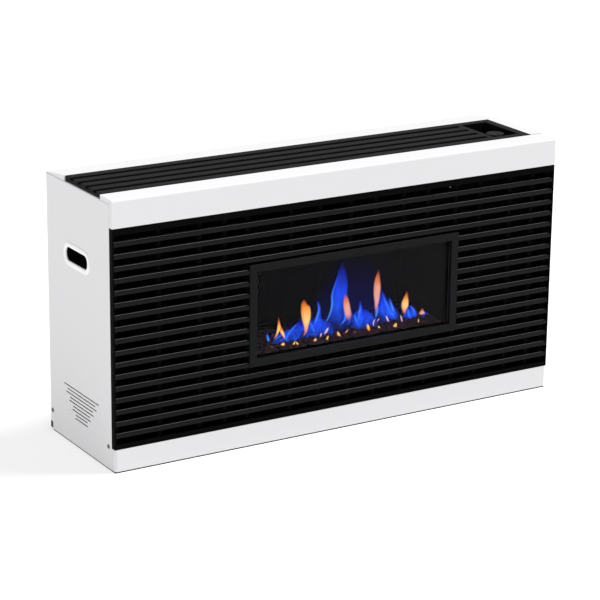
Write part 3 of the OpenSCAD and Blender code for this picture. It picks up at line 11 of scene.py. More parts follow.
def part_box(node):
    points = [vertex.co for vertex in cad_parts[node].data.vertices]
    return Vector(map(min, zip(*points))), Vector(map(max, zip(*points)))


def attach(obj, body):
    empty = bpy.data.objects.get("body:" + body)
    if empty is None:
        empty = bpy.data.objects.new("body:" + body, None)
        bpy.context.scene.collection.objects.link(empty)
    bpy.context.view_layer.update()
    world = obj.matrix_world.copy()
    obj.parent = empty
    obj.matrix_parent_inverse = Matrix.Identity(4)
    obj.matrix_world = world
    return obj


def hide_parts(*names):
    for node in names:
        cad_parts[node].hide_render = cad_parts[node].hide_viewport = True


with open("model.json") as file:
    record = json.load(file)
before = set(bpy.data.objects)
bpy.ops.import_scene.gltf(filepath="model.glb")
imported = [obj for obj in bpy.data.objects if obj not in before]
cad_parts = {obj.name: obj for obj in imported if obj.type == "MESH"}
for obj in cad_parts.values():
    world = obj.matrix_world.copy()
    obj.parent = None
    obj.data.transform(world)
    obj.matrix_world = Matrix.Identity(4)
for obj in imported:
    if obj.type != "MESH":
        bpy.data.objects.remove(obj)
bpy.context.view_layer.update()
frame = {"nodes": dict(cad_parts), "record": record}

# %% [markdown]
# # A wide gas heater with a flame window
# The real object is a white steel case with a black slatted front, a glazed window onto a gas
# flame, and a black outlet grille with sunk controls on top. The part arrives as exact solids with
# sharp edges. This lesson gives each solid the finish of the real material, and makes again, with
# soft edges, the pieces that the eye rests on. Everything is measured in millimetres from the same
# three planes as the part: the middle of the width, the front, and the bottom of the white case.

MM = 0.001
planes = np.array([0.0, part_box("grille_frame")[0].y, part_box("bottom_fascia")[0].z])
random = np.random.default_rng(7)


def to_frame(points):
    """Millimetres from the three planes, turned into metres of the frame: scale, then shift."""
    return np.asarray(points, float) * MM + planes


def box_mm(node):
    """Lowest and highest corner of a node, in millimetres from the three planes."""
    return [(np.array(corner) - planes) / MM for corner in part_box(node)]


case_low, case_high = box_mm("left_side_panel")
half_width = -case_low[0]
print("case:", 2 * half_width, "mm wide, panels", case_high[2], "mm high")

# %% [markdown]
# ## Outlines
# Pressed and bent sheet has rounded corners, because a tool can't fold a sharp one. So an outline
# starts as straight corners, and a helper puts an arc in place of each.

# %% Outline helpers


def rectangle(a0, a1, b0, b1):
    """Four corners of a rectangle, anticlockwise."""
    return np.array([[a0, b0], [a1, b0], [a1, b1], [a0, b1]], float)


def round_corners(corners, radius, steps=6):
    """Replaces each corner by an arc that touches both its sides.

    The arc's centre lies on the line that halves the corner, at radius / sin(half the angle), and
    its points turn evenly from the foot on one side to the foot on the other."""
    corners = np.asarray(corners, float)
    radius = np.broadcast_to(np.asarray(radius, float), len(corners))[:, None]
    back = np.roll(corners, 1, 0) - corners
    on = np.roll(corners, -1, 0) - corners
    back /= np.linalg.norm(back, axis=1, keepdims=True)
    on /= np.linalg.norm(on, axis=1, keepdims=True)
    half = np.arccos(np.clip((back * on).sum(1, keepdims=True), -1, 1)) / 2
    middle = back + on
    middle /= np.linalg.norm(middle, axis=1, keepdims=True)
    centre = corners + middle * radius / np.sin(half)
    start = corners + back * radius / np.tan(half) - centre
    end = corners + on * radius / np.tan(half) - centre
    turn = (np.pi - 2 * half)[:, None]
    share = np.linspace(0, 1, steps)[None, :, None]
    arc = (np.sin((1 - share) * turn) * start[:, None] + np.sin(share * turn) * end[:, None]) / np.sin(turn)
    return (centre[:, None] + arc).reshape(-1, 2)


def round_rect(centre, width, height, radius, steps=6):
    """A rectangle of the given size round a centre, with arcs at its corners."""
    a, b = centre
    corners = rectangle(a - width / 2, a + width / 2, b - height / 2, b + height / 2)
    return round_corners(corners, radius, steps)


def circle(centre, radius, steps=24):
    """Points on a circle: the centre plus radius times cosine and sine."""
    angle = np.linspace(0, 2 * np.pi, steps, endpoint=False)
    return np.array(centre) + radius * np.stack([np.cos(angle), np.sin(angle)], -1)


print("a rounded rectangle has", len(round_rect((0, 0), 9, 9, 2)), "points")

# %% [markdown]
# ## Surfaces on grids
# Every new piece is a surface on a grid of points, joined by four-sided faces. An outline that
# runs straight makes a bar, a rail or a slat. An outline with holes, filled on both sides, makes a
# plate. A profile carried round an axis makes a turned part. A small section carried round an
# outline makes a raised ring.

# %% Surface helpers
AXES = {"x": (1, 2, 0), "y": (0, 2, 1), "z": (0, 1, 2)}


def grid_faces(rows, columns, closed=True):
    """Joins each point to its right neighbour and to the two points in the next row."""
    i, j = np.meshgrid(np.arange(rows - 1), np.arange(columns if closed else columns - 1), indexing="ij")
    right = (j + 1) % columns
    corners = [i * columns + j, i * columns + right, (i + 1) * columns + right, (i + 1) * columns + j]
    return np.stack(corners, -1).reshape(-1, 4)


def loft(rings):
    """A tube through rings of points (ring, point, xyz), with one flat face at each end."""
    rows, columns = rings.shape[:2]
    first = np.arange(columns)
    caps = np.stack([first[::-1], first + (rows - 1) * columns])
    return rings.reshape(-1, 3), [grid_faces(rows, columns), caps]


def hoop(rings):
    """A tube through rings whose last ring is joined to the first: a closed hoop."""
    rows, columns = rings.shape[:2]
    return rings.reshape(-1, 3), [grid_faces(rows + 1, columns) % (rows * columns)]


def run_along(axis, outline, stations):
    """The outline, given in the two other directions, repeated at each station along the axis."""
    outline = np.asarray(outline, float)
    a, b, c = AXES[axis]
    rings = np.empty((len(stations), len(outline), 3))
    rings[..., a], rings[..., b] = outline[:, 0], outline[:, 1]
    rings[..., c] = np.asarray(stations, float)[:, None]
    return loft(rings)


def bar(x0, x1, y0, y1, z0, z1):
    """A straight bar: a rectangle run along X."""
    return run_along("x", rectangle(y0, y1, z0, z1), (x0, x1))


def filled(loops):
    """Triangles, as numbers of points, that fill the first loop and leave the others open."""
    return np.array(tessellate_polygon([[Vector((*p, 0)) for p in loop.tolist()] for loop in loops]))


def plate(axis, outline, holes, low, high):
    """A flat plate: outline and holes are filled with triangles on both sides, and each loop is
    joined to its copy through the thickness, from low to high on the axis."""
    loops = [np.asarray(loop, float) for loop in (outline, *holes)]
    fill = filled(loops)
    flat = np.concatenate(loops)
    count, start = len(flat), 0
    faces = [fill, fill[:, ::-1] + count]
    for loop in loops:
        this = np.arange(len(loop))
        here, after = this + start, np.roll(this, -1) + start
        faces.append(np.stack([here, after, after + count, here + count], -1))
        start += len(loop)
    a, b, c = AXES[axis]
    points = np.empty((2 * count, 3))
    points[:, a], points[:, b] = np.tile(flat[:, 0], 2), np.tile(flat[:, 1], 2)
    points[:, c] = np.repeat([low, high], count)
    return points, faces


def turned(profile, centre, axis="z", steps=48):
    """A profile of (radius, height) carried round an axis through the centre: height stays, and
    the two other coordinates are radius times the cosine and sine of the angle."""
    a, b, c = AXES[axis]
    rings = np.empty((len(profile), steps, 3))
    for row, (radius, height) in enumerate(profile):
        rings[row][:, [a, b]] = circle(centre, radius, steps)
        rings[row][:, c] = height
    return loft(rings)


print("a straight bar has", len(bar(0, 9, 0, 9, 0, 9)[0]), "points")

# %% [markdown]
# ## From grids to pieces
# A piece is one or more surfaces in one mesh. Its faces are turned outwards, and a narrow bevel
# rounds what is still sharp. Weighted normals then keep the flat faces flat while the small radii
# shade smoothly, which is how painted sheet looks: flat, with a bright line along every fold.

# %% Piece helper
BEVEL_FROM, SHARP_FROM = math.radians(35), math.radians(46)
FLAT_WEIGHT = 80


def add_object(name, data):
    """Puts a mesh, a camera or a lamp into the scene as a new object."""
    thing = bpy.data.objects.new(name, data)
    bpy.context.scene.collection.objects.link(thing)
    return thing


def make_piece(name, parts, slot, body="heater", stands_for=(), bevel=0.0, wall=0.0, facing=None,
               inside=None, finish=None):
    """Joins parts, each (points in mm, blocks of faces, maybe UV), into one object on a body.

    The slot is the record's name for the finish, and a piece may wear a special one instead."""
    points, faces, flat_map, start = [], [], [], 0
    for part in parts:
        points.append(part[0])
        faces += [face for block in part[1] for face in (np.asarray(block) + start).tolist()]
        flat_map.append(part[2] if len(part) > 2 else np.zeros((len(part[0]), 2)))
        start += len(part[0])
    mesh = bpy.data.meshes.new(name)
    mesh.from_pydata(to_frame(np.concatenate(points)).tolist(), [], faces)
    outward = bmesh.new()
    outward.from_mesh(mesh)
    bmesh.ops.recalc_face_normals(outward, faces=outward.faces)
    if facing:
        leaning = sum((face.normal * face.calc_area() for face in outward.faces), Vector())
        if leaning.dot(Vector(facing)) < 0:
            bmesh.ops.reverse_faces(outward, faces=outward.faces)
    outward.to_mesh(mesh)
    outward.free()
    if len(parts[0]) > 2:
        corners = np.empty(len(mesh.loops), np.int32)
        mesh.loops.foreach_get("vertex_index", corners)
        layer = mesh.uv_layers.new(name="flame")
        layer.data.foreach_set("uv", np.concatenate(flat_map)[corners].astype(np.float32).ravel())
    mesh.polygons.foreach_set("use_smooth", np.full(len(mesh.polygons), True))
    piece = add_object(name, mesh)
    for key in (finish or slot, inside) if inside else (finish or slot,):
        mesh.materials.append(materials[key])
    if wall:
        solid = piece.modifiers.new("sheet", "SOLIDIFY")
        solid.thickness, solid.offset, solid.use_even_offset = wall * MM, -1.0, True
        solid.material_offset = 1 if inside else 0
    if bevel:
        edge = piece.modifiers.new("edges", "BEVEL")
        edge.width, edge.segments, edge.limit_method = bevel * MM, 2, "ANGLE"
        edge.angle_limit = BEVEL_FROM
    mesh.set_sharp_from_angle(angle=SHARP_FROM)
    flats = piece.modifiers.new("flats", "WEIGHTED_NORMAL")
    flats.weight, flats.keep_sharp = FLAT_WEIGHT, True
    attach(piece, body)
    if stands_for:
        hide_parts(*stands_for)
    print(name, len(mesh.polygons), "faces")


# %% [markdown]
# ## Colours and nodes
# Colours are written as on a paint card, in sRGB hex, and one function makes them linear for the
# renderer. Another adds a node with its settings and links. Patterns read Object coordinates, so
# their size is given in metres of the real thing. Two kinds of node have numbered inputs. A Mix
# node takes its share in 0 and its colours in 6 and 7, and gives the mix in its output 2. A Map
# Range node takes its value in 0, the range it comes from in 1 and 2, the range it goes to in 3
# and 4, and holds the ends.

# %% Colour and node helpers


def linear(colour):
    """sRGB hex to linear: low values are divided by 12.92, the rest follow a 2.4 power curve."""
    srgb = np.array([int(colour[i:i + 2], 16) for i in (1, 3, 5)]) / 255
    curve = np.where(srgb <= 0.04045, srgb / 12.92, ((srgb + 0.055) / 1.055) ** 2.4)
    return (*curve.tolist(), 1.0)


def add_node(tree, kind, inputs=None, **settings):
    """Adds a node, sets its properties, and fills each input with a value, with a link, or with
    the first output of another node."""
    node = tree.nodes.new("ShaderNode" + kind)
    for name, value in settings.items():
        setattr(node, name, value)
    for name, value in (inputs or {}).items():
        if isinstance(value, bpy.types.Node):
            value = value.outputs[0]
        if isinstance(value, bpy.types.NodeSocket):
            tree.links.new(value, node.inputs[name])
        else:
            node.inputs[name].default_value = value
    return node


def new_material(name):
    """An empty node material, its tree, and the socket that gives Object coordinates."""
    material = bpy.data.materials.new(name)
    material.use_nodes = True
    tree = material.node_tree
    tree.nodes.clear()
    return material, tree, add_node(tree, "TexCoord").outputs["Object"]


def finished(material, tree, shader):
    """Links the shader to the material's output."""
    add_node(tree, "OutputMaterial", {"Surface": shader})
    return material


print("middle grey is", round(linear("#808080")[0], 3), "in linear light")


# %% [markdown]
# ## Finishes with an even grain
# Powder coat, moulded plastic, cast metal and rubber share one look: two close tones, a
# roughness that wanders a little, and a fine relief, all from the same cloud pattern. What
# differs is the size of the grain, from 0.4 mm on a mould's spark-eroded skin to 3 mm on
# orange peel. Grains under 1 mm don't show in the picture and are drawn 1 mm wide. The matt
# black coats have a low specular level: their tiny pits swallow most of the mirror image.

# %% Grained finish


def grained(name, light, dark, roughness, grain, relief, specular=0.5, metallic=0.0, stretch=(1, 1, 1)):
    """Two tones and two roughnesses blended by clouds of the given grain in millimetres."""
    material, tree, place = new_material(name)
    placed = add_node(tree, "Mapping", {"Vector": place, "Scale": stretch})
    noise = {"Vector": placed, "Scale": 1 / (grain * MM), "Detail": 3.0}
    clouds = add_node(tree, "TexNoise", noise).outputs["Fac"]
    tone = add_node(tree, "Mix", {0: clouds, 6: linear(dark), 7: linear(light)}, data_type="RGBA")
    bump = add_node(tree, "Bump", {"Height": clouds, "Strength": 0.6, "Distance": relief * MM})
    shader = add_node(tree, "BsdfPrincipled", {
        "Base Color": tone.outputs[2], "Normal": bump,
        "Roughness": add_node(tree, "MapRange", {0: clouds, 3: roughness[0], 4: roughness[1]}),
        "Metallic": metallic, "Specular IOR Level": specular})
    return finished(material, tree, shader)


# Each row: real finish, light and dark tone, roughness, grain and relief in mm, specular level.
coats = {
    # Melted powder: an even, soft sheen over a faint orange peel.
    "white_enamel": ("white powder coat", "#E1E1E2", "#DDDDDF", (0.46, 0.52), 3.0, 0.01, 0.25),
    # Smoother powder: near black, with a thin bright line on each rounded edge.
    "black_grille": ("black powder coat", "#080809", "#040405", (0.26, 0.32), 1.2, 0.004, 0.12),
    # Warm air dulls it: a dark grey, without a mirror image even at a low angle.
    "black_outlet": ("black coat dulled by heat", "#121213", "#0E0E0F", (0.5, 0.6), 1.2, 0.004, 0.06),
    # Painted shade: a darker copy of the black coat for the ribs and the frame.
    "painted_shade_black": ("thin black coat on hidden faces", "#090909", "#050505", (0.6, 0.7), 1.2, 0.004, 0.02),
    # Satin powder: a shade lighter than the slats, with a broad dim sheen.
    "black_bezel": ("satin black powder coat", "#121313", "#0E0F0F", (0.4, 0.46), 1.0, 0.004, 0.08),
    # Dry pigment with little binder: it swallows the light. Inside the case it is also painted shade.
    "heat_black": ("heat-proof matt paint", "#0A090A", "#060606", (0.8, 0.9), 1.5, 0.002, 0.0),
    # Soft moulded block: dark grey and matt.
    "rubber_black": ("black rubber", "#1B1B1B", "#141414", (0.6, 0.75), 1.5, 0.02),
    # Small cut cells: flat grey with no highlight.
    "foam_seal": ("closed-cell silicone foam", "#3A3A3B", "#2B2B2C", (0.8, 0.9), 1.5, 0.08),
    # Glaze over white clay: creamy, with a small clear highlight.
    "ceramic_white": ("glazed alumina", "#ECE8DC", "#E4DFD2", (0.15, 0.25), 4.0, 0.01),
    # Moulded against an etched skin: even and dull.
    "black_plastic": ("moulded black ABS", "#101011", "#0C0C0D", (0.4, 0.52), 1.0, 0.01, 0.06),
    # Moulded against a polished skin: whiter and glossier than the coat around it.
    "white_plastic": ("moulded white ABS", "#F4F4F5", "#F0F0F1", (0.28, 0.36), 2.0, 0.008),
    # The etched skin in mid grey: the button stands out from its black well.
    "grey_plastic": ("moulded grey ABS", "#4B4C4E", "#404143", (0.4, 0.5), 1.0, 0.015),
    # Thin plating gone dull: grey dots with hardly a gleam.
    "dull_screw": ("dull plated screw head", "#6C6D70", "#525356", (0.4, 0.55), 1.0, 0.02),
    # Drawn over the wire: brown-black with a waxy sheen.
    "silicone": ("silicone sleeve", "#26211F", "#1C1816", (0.5, 0.6), 1.5, 0.01),
    # Thick yarn in a tight weave: rough grey with no sheen.
    "fibre_seal": ("woven glass-fibre tape", "#55524C", "#3A3834", (0.85, 0.95), 1.5, 0.1, 0.5, 0.0,
                   (1, 1, 3)),
}
materials = {key: grained(*row) for key, row in coats.items()}
print(len(materials), "coats and plastics")

# %% [markdown]
# ## Metals
# Bare metals differ by how they were worked. Drawn tube and rolled sheet carry fine lines along
# the working direction, so their clouds are stretched. Hot-dip galvanised sheet shows spangle:
# zinc crystals about a centimetre wide, each with its own tone and gloss. That is a pattern of
# cells with one random value each.

# %% Metal finishes


def spangled(name, light, dark, crystal):
    """One random tone and roughness for each cell of the given width in millimetres."""
    material, tree, place = new_material(name)
    cells = add_node(tree, "TexVoronoi", {"Vector": place, "Scale": 1 / (crystal * MM)})
    share = add_node(tree, "SeparateColor", {"Color": cells.outputs["Color"]})
    tone = add_node(tree, "Mix", {0: share, 6: linear(dark), 7: linear(light)}, data_type="RGBA")
    gloss = add_node(tree, "MapRange", {0: share.outputs[1], 3: 0.28, 4: 0.46})
    shader = add_node(tree, "BsdfPrincipled", {
        "Base Color": tone.outputs[2], "Roughness": gloss, "Metallic": 1.0})
    return finished(material, tree, shader)


# Each row as above, and then how much the clouds are stretched along X, Y and Z.
metals = {
    # Cast in a sand-blasted die: pale grey with a broad, soft shine.
    "alloy": ("die-cast aluminium", "#B9BABC", "#9FA0A2", (0.45, 0.6), 1.0, 0.03),
    # Rolled: fine lines along the width that draw out each highlight.
    "stainless": ("rolled stainless sheet", "#B4B1AC", "#A09D98", (0.25, 0.4), 1.0, 0.01, (0.04, 1, 1)),
    # Pulled through a die: bright and clean.
    "aluminium_tube": ("drawn aluminium tube", "#CBCBCD", "#B9B9BC", (0.25, 0.35), 1.0, 0.01),
    # Cut on a lathe: warm yellow with fine rings across its axis.
    "brass": ("turned brass", "#D2B06A", "#BF9B55", (0.2, 0.34), 1.0, 0.01, (0.2, 4, 0.2)),
    # Handled and heated: brown patches on orange.
    "copper": ("drawn copper", "#C07A58", "#9C5C40", (0.25, 0.45), 6.0, 0.01),
    # Thin bright plating: cool and shiny.
    "zinc_screw": ("zinc-plated steel", "#BFC2C6", "#A9ACB0", (0.25, 0.35), 1.0, 0.01),
    # Oiled wire: a darker grey shine.
    "spring_steel": ("spring wire", "#9B9B9E", "#7F7F83", (0.3, 0.4), 1.0, 0.01),
}
materials.update({key: grained(*row[:6], 0.5, 1.0, *row[6:]) for key, row in metals.items()})
materials["galvanised"] = spangled("hot-dip galvanised sheet", "#B7BABD", "#8F9396", 11.0)
print(len(materials), "finishes with the metals")

# %% [markdown]
# ## Ceramic glass
# The window is 4 mm glass ceramic, clear but grey by its own depth, with a thin coat against
# reflections. Light must come straight through, so the surface lets most of it pass, tinted, and
# adds a mirror image whose strength follows the angle as on real glass. Light also leaves the
# rear face unbent, where the formula would throw all of it back at a low angle. So the mirror
# image never takes more than a set share.

# %% Glass


def clear_glass(name, tint, smear, gloss, most=0.3):
    """Transparent, tinted, with a mirror image that grows towards grazing angles, to most."""
    material, tree, place = new_material(name)
    clouds = add_node(tree, "TexNoise", {"Vector": place, "Scale": 1 / (60 * MM)}).outputs["Fac"]
    tone = add_node(tree, "Mix", {0: clouds, 6: linear(tint), 7: linear(smear)}, data_type="RGBA")
    clear = add_node(tree, "BsdfTransparent", {"Color": tone.outputs[2]})
    mirror = add_node(tree, "BsdfGlossy", {"Color": linear(gloss), "Roughness": 0.08})
    angle = add_node(tree, "Fresnel", {"IOR": 1.25})
    share = add_node(tree, "Math", {0: angle, 1: most}, operation="MINIMUM")
    return finished(material, tree, add_node(tree, "MixShader", {0: share, 1: clear, 2: mirror}))


materials["ceramic_glass"] = clear_glass("grey glass ceramic", "#F4F4F6", "#F0F0F3", "#8A8A8C")
print("the glass lets", round(linear("#F4F4F6")[0], 2), "of the light through each face")

# %% [markdown]
# ## Charred ceramic with live embers
# The ember bed is broken ceramic fibre, charred purple-brown. Where gas burns in its cracks it
# glows orange. The glow is light that the surface itself gives, strongest where the same cloud
# pattern peaks.

# %% Ember finish


def glowing_ceramic(name, light, dark, glow, grain, share):
    """Charred tones, with a glow where clouds of the given grain pass the share."""
    material, tree, place = new_material(name)
    noise = {"Vector": place, "Scale": 1 / (grain * MM), "Detail": 4.0}
    clouds = add_node(tree, "TexNoise", noise).outputs["Fac"]
    tone = add_node(tree, "Mix", {0: clouds, 6: linear(dark), 7: linear(light)}, data_type="RGBA")
    heat = add_node(tree, "MapRange", {0: clouds, 1: share, 2: share + 0.12, 4: 1.2})
    shader = add_node(tree, "BsdfPrincipled", {
        "Base Color": tone.outputs[2], "Roughness": 0.9, "Specular IOR Level": 0.1,
        "Emission Color": linear(glow), "Emission Strength": heat})
    return finished(material, tree, shader)


materials["ember_ceramic"] = glowing_ceramic("charred ceramic", "#5E404E", "#36242D", "#C85A30", 9.0, 0.7)
print("the embers glow where the clouds pass 0.7")

# %% [markdown]
# ## Flames
# A flame is hot gas that shines and lets light through. Each tongue is a closed, flattened
# teardrop. Its own map gives the place across (0 to 1) and up (0 to 1). Blue gas burns clean and
# only in the tongue's skin, so it is thin in the middle, denser near the sides, and fades to
# nothing at the very edge. An orange tongue is full of glowing soot all through: pinkish at its
# foot, pale yellow in the body, orange at the tip and edges. Up, each fades in at the foot and
# out at the tip.

# %% Flame finishes


def flame_finish(name, stops, rim, middle, body, soft, wisps, strength=1.0):
    """Colour by height from the stops, and the rim's colour at the sides. Alpha goes from middle
    to body across, and its fall to nothing at the side is raised to the power soft."""
    material, tree, place = new_material(name)
    split = add_node(tree, "SeparateXYZ", {0: add_node(tree, "UVMap", uv_map="flame")})
    across, up = split.outputs[0], split.outputs[1]
    offset = add_node(tree, "Math", {0: across, 1: 2.0, 2: -1.0}, operation="MULTIPLY_ADD")
    square = add_node(tree, "Math", {0: offset, 1: offset}, operation="MULTIPLY")
    placed = add_node(tree, "Mapping", {"Vector": place, "Scale": (1, 1, 0.35)})
    noise = {"Vector": placed, "Scale": 1 / (9 * MM), "Detail": 2.0}
    clouds = add_node(tree, "TexNoise", noise).outputs["Fac"]
    height = add_node(tree, "Math", {0: clouds, 1: 0.3, 2: up}, operation="MULTIPLY_ADD")
    ramp = add_node(tree, "ValToRGB", {0: add_node(tree, "Math", {0: height, 1: 0.15}, operation="SUBTRACT")})
    while len(ramp.color_ramp.elements) < len(stops):
        ramp.color_ramp.elements.new(0.5)
    for element, (position, colour) in zip(ramp.color_ramp.elements, stops):
        element.position, element.color = position, linear(colour)
    side = add_node(tree, "MapRange", {0: square, 1: 0.3, 2: 0.92, 3: 1.0, 4: 0.0})
    foot = add_node(tree, "MapRange", {0: up, 2: 0.3})
    tip = add_node(tree, "MapRange", {0: up, 1: 0.6, 3: 1.0, 4: 0.0})
    torn = add_node(tree, "MapRange", {0: clouds, 1: 0.3, 2: 0.6, 3: 1.0 - wisps})
    alpha = add_node(tree, "MapRange", {0: square, 2: 0.5, 3: middle, 4: body})
    for fade in (add_node(tree, "Math", {0: side, 1: soft}, operation="POWER"), foot, tip, torn):
        alpha = add_node(tree, "Math", {0: alpha, 1: fade}, operation="MULTIPLY")
    to_rim = add_node(tree, "MapRange", {0: square, 1: 0.2, 4: 0.8})
    shine = add_node(tree, "Mix", {0: to_rim, 6: ramp.outputs[0], 7: linear(rim)}, data_type="RGBA")
    shader = add_node(tree, "BsdfPrincipled", {
        "Base Color": linear("#000000"), "Roughness": 1.0, "Specular IOR Level": 0.0, "Alpha": alpha,
        "Emission Color": shine.outputs[2], "Emission Strength": strength})
    return finished(material, tree, shader)


soot = [(0.0, "#D070B0"), (0.15, "#FFB488"), (0.4, "#FFD68C"), (0.65, "#FFAE50"), (0.85, "#FF7C34"),
        (1.0, "#E05028")]
rosy = [(0.0, "#8878F0"), (0.2, "#F0A8B8"), (0.5, "#FFB8A0"), (0.75, "#FF9460"), (1.0, "#E86038")]
gas = [(0.0, "#1C50FF"), (0.3, "#1C5CFF"), (0.6, "#184CFF"), (0.85, "#1828D8"), (1.0, "#180C80")]
edge = [(0.0, "#60A0FF"), (0.4, "#4890FF"), (0.8, "#2458FF"), (1.0, "#1828C0")]
deep = [(0.0, "#2038D8"), (0.25, "#2030C8"), (0.6, "#2018A0"), (1.0, "#1A1060")]
warm = [(0.0, "#D85A20"), (0.3, "#FFA648"), (0.6, "#FFDA90"), (1.0, "#FF9A40")]
pale = [(0.0, "#B080D0"), (0.4, "#F0C0D8"), (0.7, "#FFE4E0"), (1.0, "#D0A0E0")]
# Each row: real thing, colours by height, rim, alpha in the middle and nearer the side, softness
# of the side, share of torn wisps, strength.
flames = {
    "soot_flame": ("yellow sooty flame", soot, "#FF7A38", 1.0, 0.95, 1.2, 0.1, 1.25),
    "rosy_flame": ("rosy sooty flame", rosy, "#F07850", 0.95, 0.9, 1.3, 0.15, 1.1),
    "gas_flame": ("blue gas flame", gas, "#1C50FF", 0.52, 0.7, 1.4, 0.7, 1.5),
    "gas_edge": ("bright skin of a gas flame", edge, "#3070FF", 0.85, 0.7, 1.2, 0.3, 1.2),
    "gas_haze": ("thin blue gas glow", deep, "#1E1A90", 0.06, 0.05, 2.0, 0.5),
    "ember_glint": ("burning ember edge", warm, "#F07028", 1.0, 1.0, 0.8, 0.0, 1.15),
    "pale_glint": ("gas flame on an ember", pale, "#A080E8", 0.9, 0.9, 1.0, 0.0, 1.1),
}
materials.update({key: flame_finish(*row) for key, row in flames.items()})
# The grille's ribs wear the darker black coat: painted shade behind the slats.
for row in frame["record"]["subparts"]:
    node = frame["nodes"][row["node"]]
    finish = "painted_shade_black" if row["node"] == "grille_ribs" else row["material_slot"]
    node.data.materials.clear()
    node.data.materials.append(materials[finish])
print(len(frame["nodes"]), "nodes have a finish")

# %% [markdown]
# ## Side panels
# Each side is one sheet of 1.2 mm steel. Its front, top and rear edges are folded inwards over a
# 2 mm radius. The face carries the grip's opening, nine air slits and two screw holes. The folded
# edge is a grid: rows go round the bend, columns go along the edge. The face is filled up to the
# grid's first row, and both share those points. Paint reaches the outside. The inside is matt
# black, a painted shade that keeps the case's inside dark where it shows through the slats.

# %% Side panel sheet
sheet, bend, fold = 1.2, 2.0, 12.0
front_radius, rear_radius, arc_steps, bend_rows = 4.0, 2.5, 8, 6
edge_front, edge_top, edge_rear = case_low[1], case_high[2], case_high[1]
notch_deep, notch_high = 10.0, 15.0
grip_low, grip_high = box_mm("grip_rings")
ring_width, ring_proud = 10.0, -half_width - grip_low[0]
grip_centre = (grip_low[1:] + grip_high[1:]) / 2
grip_size = grip_high[1:] - grip_low[1:] - 2 * ring_width
grip_radius, neck_side = 12.0, 2.0
slit_lengths = [151, 121, 132, 100, 105, 74, 80, 52, 55]
slit_centre, slit_top, slit_pitch, slit_wide = 141.5, 113.0, 7.35, 2.4
screws, screw_hole = [(26.0, 44.0), (270.0, 39.0)], 2.3


def edge_path():
    """Points (y, z) up the front edge, along the top and down the rear edge, each with the
    direction that points out of the sheet: straight runs keep it, arcs turn it evenly."""
    path, out = [[edge_front, 0]], [[-1, 0]]
    for cy, radius, start in ((edge_front + front_radius, front_radius, np.pi),
                              (edge_rear - rear_radius, rear_radius, np.pi / 2)):
        angle = np.linspace(start, start - np.pi / 2, arc_steps)
        ray = np.stack([np.cos(angle), np.sin(angle)], -1)
        path += (np.array([cy, edge_top - radius]) + radius * ray).tolist()
        out += ray.tolist()
    return np.array(path + [[edge_rear, notch_high]]), np.array(out + [[1, 0]])


def side_sheet(side):
    """The outer skin of one panel: a bend of a quarter circle, a flange, and the filled face."""
    path, out = edge_path()
    turn = np.linspace(0, np.pi / 2, bend_rows)[:, None, None]
    rows = np.empty((bend_rows + 1, len(path), 3))
    rows[:-1, :, 1:] = path - out * bend * (1 - np.sin(turn))
    rows[:-1, :, 0] = -half_width + bend * (1 - np.cos(turn[..., 0]))
    rows[-1, :, 1:], rows[-1, :, 0] = path, -half_width + fold
    notch = np.array([[edge_rear - notch_deep, notch_high], [edge_rear - notch_deep, 0]])
    holes = [round_rect(grip_centre, *(grip_size + 2 * neck_side), grip_radius + neck_side)]
    holes += [round_rect((slit_centre, slit_top - i * slit_pitch), length, slit_wide, slit_wide * 0.499, 5)
              for i, length in enumerate(slit_lengths)]
    holes += [circle(screw, screw_hole, 12) for screw in screws]
    fill = filled([np.concatenate([rows[0][:, 1:], notch]), *holes])
    extra = np.concatenate([notch, *holes])
    index = np.concatenate([np.arange(len(path)), rows[..., 0].size + np.arange(len(extra))])
    flat = np.column_stack([np.full(len(extra), -half_width), extra])
    points = np.concatenate([rows.reshape(-1, 3), flat]) * [-side, 1, 1]
    return points, [grid_faces(bend_rows + 1, len(path), closed=False), index[fill]]


for side, node in ((-1, "left_side_panel"), (1, "right_side_panel")):
    # The inner face takes the matt black: painted shade on the inside of the case.
    make_piece(node + "_skin", [side_sheet(side)], "white_enamel", stands_for=[node], wall=sheet,
               facing=(side, 0, 0), inside="heat_black")

# %% [markdown]
# ## Grips and screws
# A white ring frames each grip. It is a small domed section carried round the opening, with a
# neck that goes into the sheet. The panel screws have a pan head with a cross recess.

# %% Grip rings and screws


def grip_ring(side, steps=8):
    """Section points (distance out from the opening, height) carried round the opening."""
    section = [(0, -sheet), (0, 0.3), (0.3, 0.9), (1, 1.4), (2.2, 1.8), (4, ring_proud), (6, ring_proud),
               (7.8, 1.8), (9, 1.4), (9.7, 0.9), (ring_width, 0), (neck_side - 0.2, 0),
               (neck_side - 0.2, -sheet)]
    rings = np.empty((len(section), 4 * steps, 3))
    for row, (out, height) in enumerate(section):
        rings[row][:, 1:] = round_rect(grip_centre, *(grip_size + 2 * out), grip_radius + out, steps)
        rings[row][:, 0] = side * (half_width + height)
    return hoop(rings)


def cross_head(side, place, radius=4.5, proud=1.6, recess=1.1, narrower=1.2, arm=0.45, reach=2.4):
    """A pan head: its radius falls with height as a quarter ellipse, and its top has a cross."""
    angle = np.linspace(0, np.pi / 2, 6)
    profile = [(radius, 0)]
    profile += [(radius - narrower * (1 - np.cos(a)), (proud - 0.5) * np.sin(a)) for a in angle]
    head = turned([(r, side * (half_width + h)) for r, h in profile], place, "x", 32)
    cross = [[arm, arm], [arm, reach], [-arm, reach], [-arm, arm], [-reach, arm], [-reach, -arm],
             [-arm, -arm], [-arm, -reach], [arm, -reach], [arm, -arm], [reach, -arm], [reach, arm]]
    top = side * (half_width + np.array([proud - recess, proud]))
    cap = plate("x", circle(place, radius - narrower, 32), [np.array(cross) + place], *top)
    shank = turned([(1.8, side * (half_width - 10)), (1.8, side * (half_width + 0.4))], place, "x", 16)
    return [head, cap, shank]


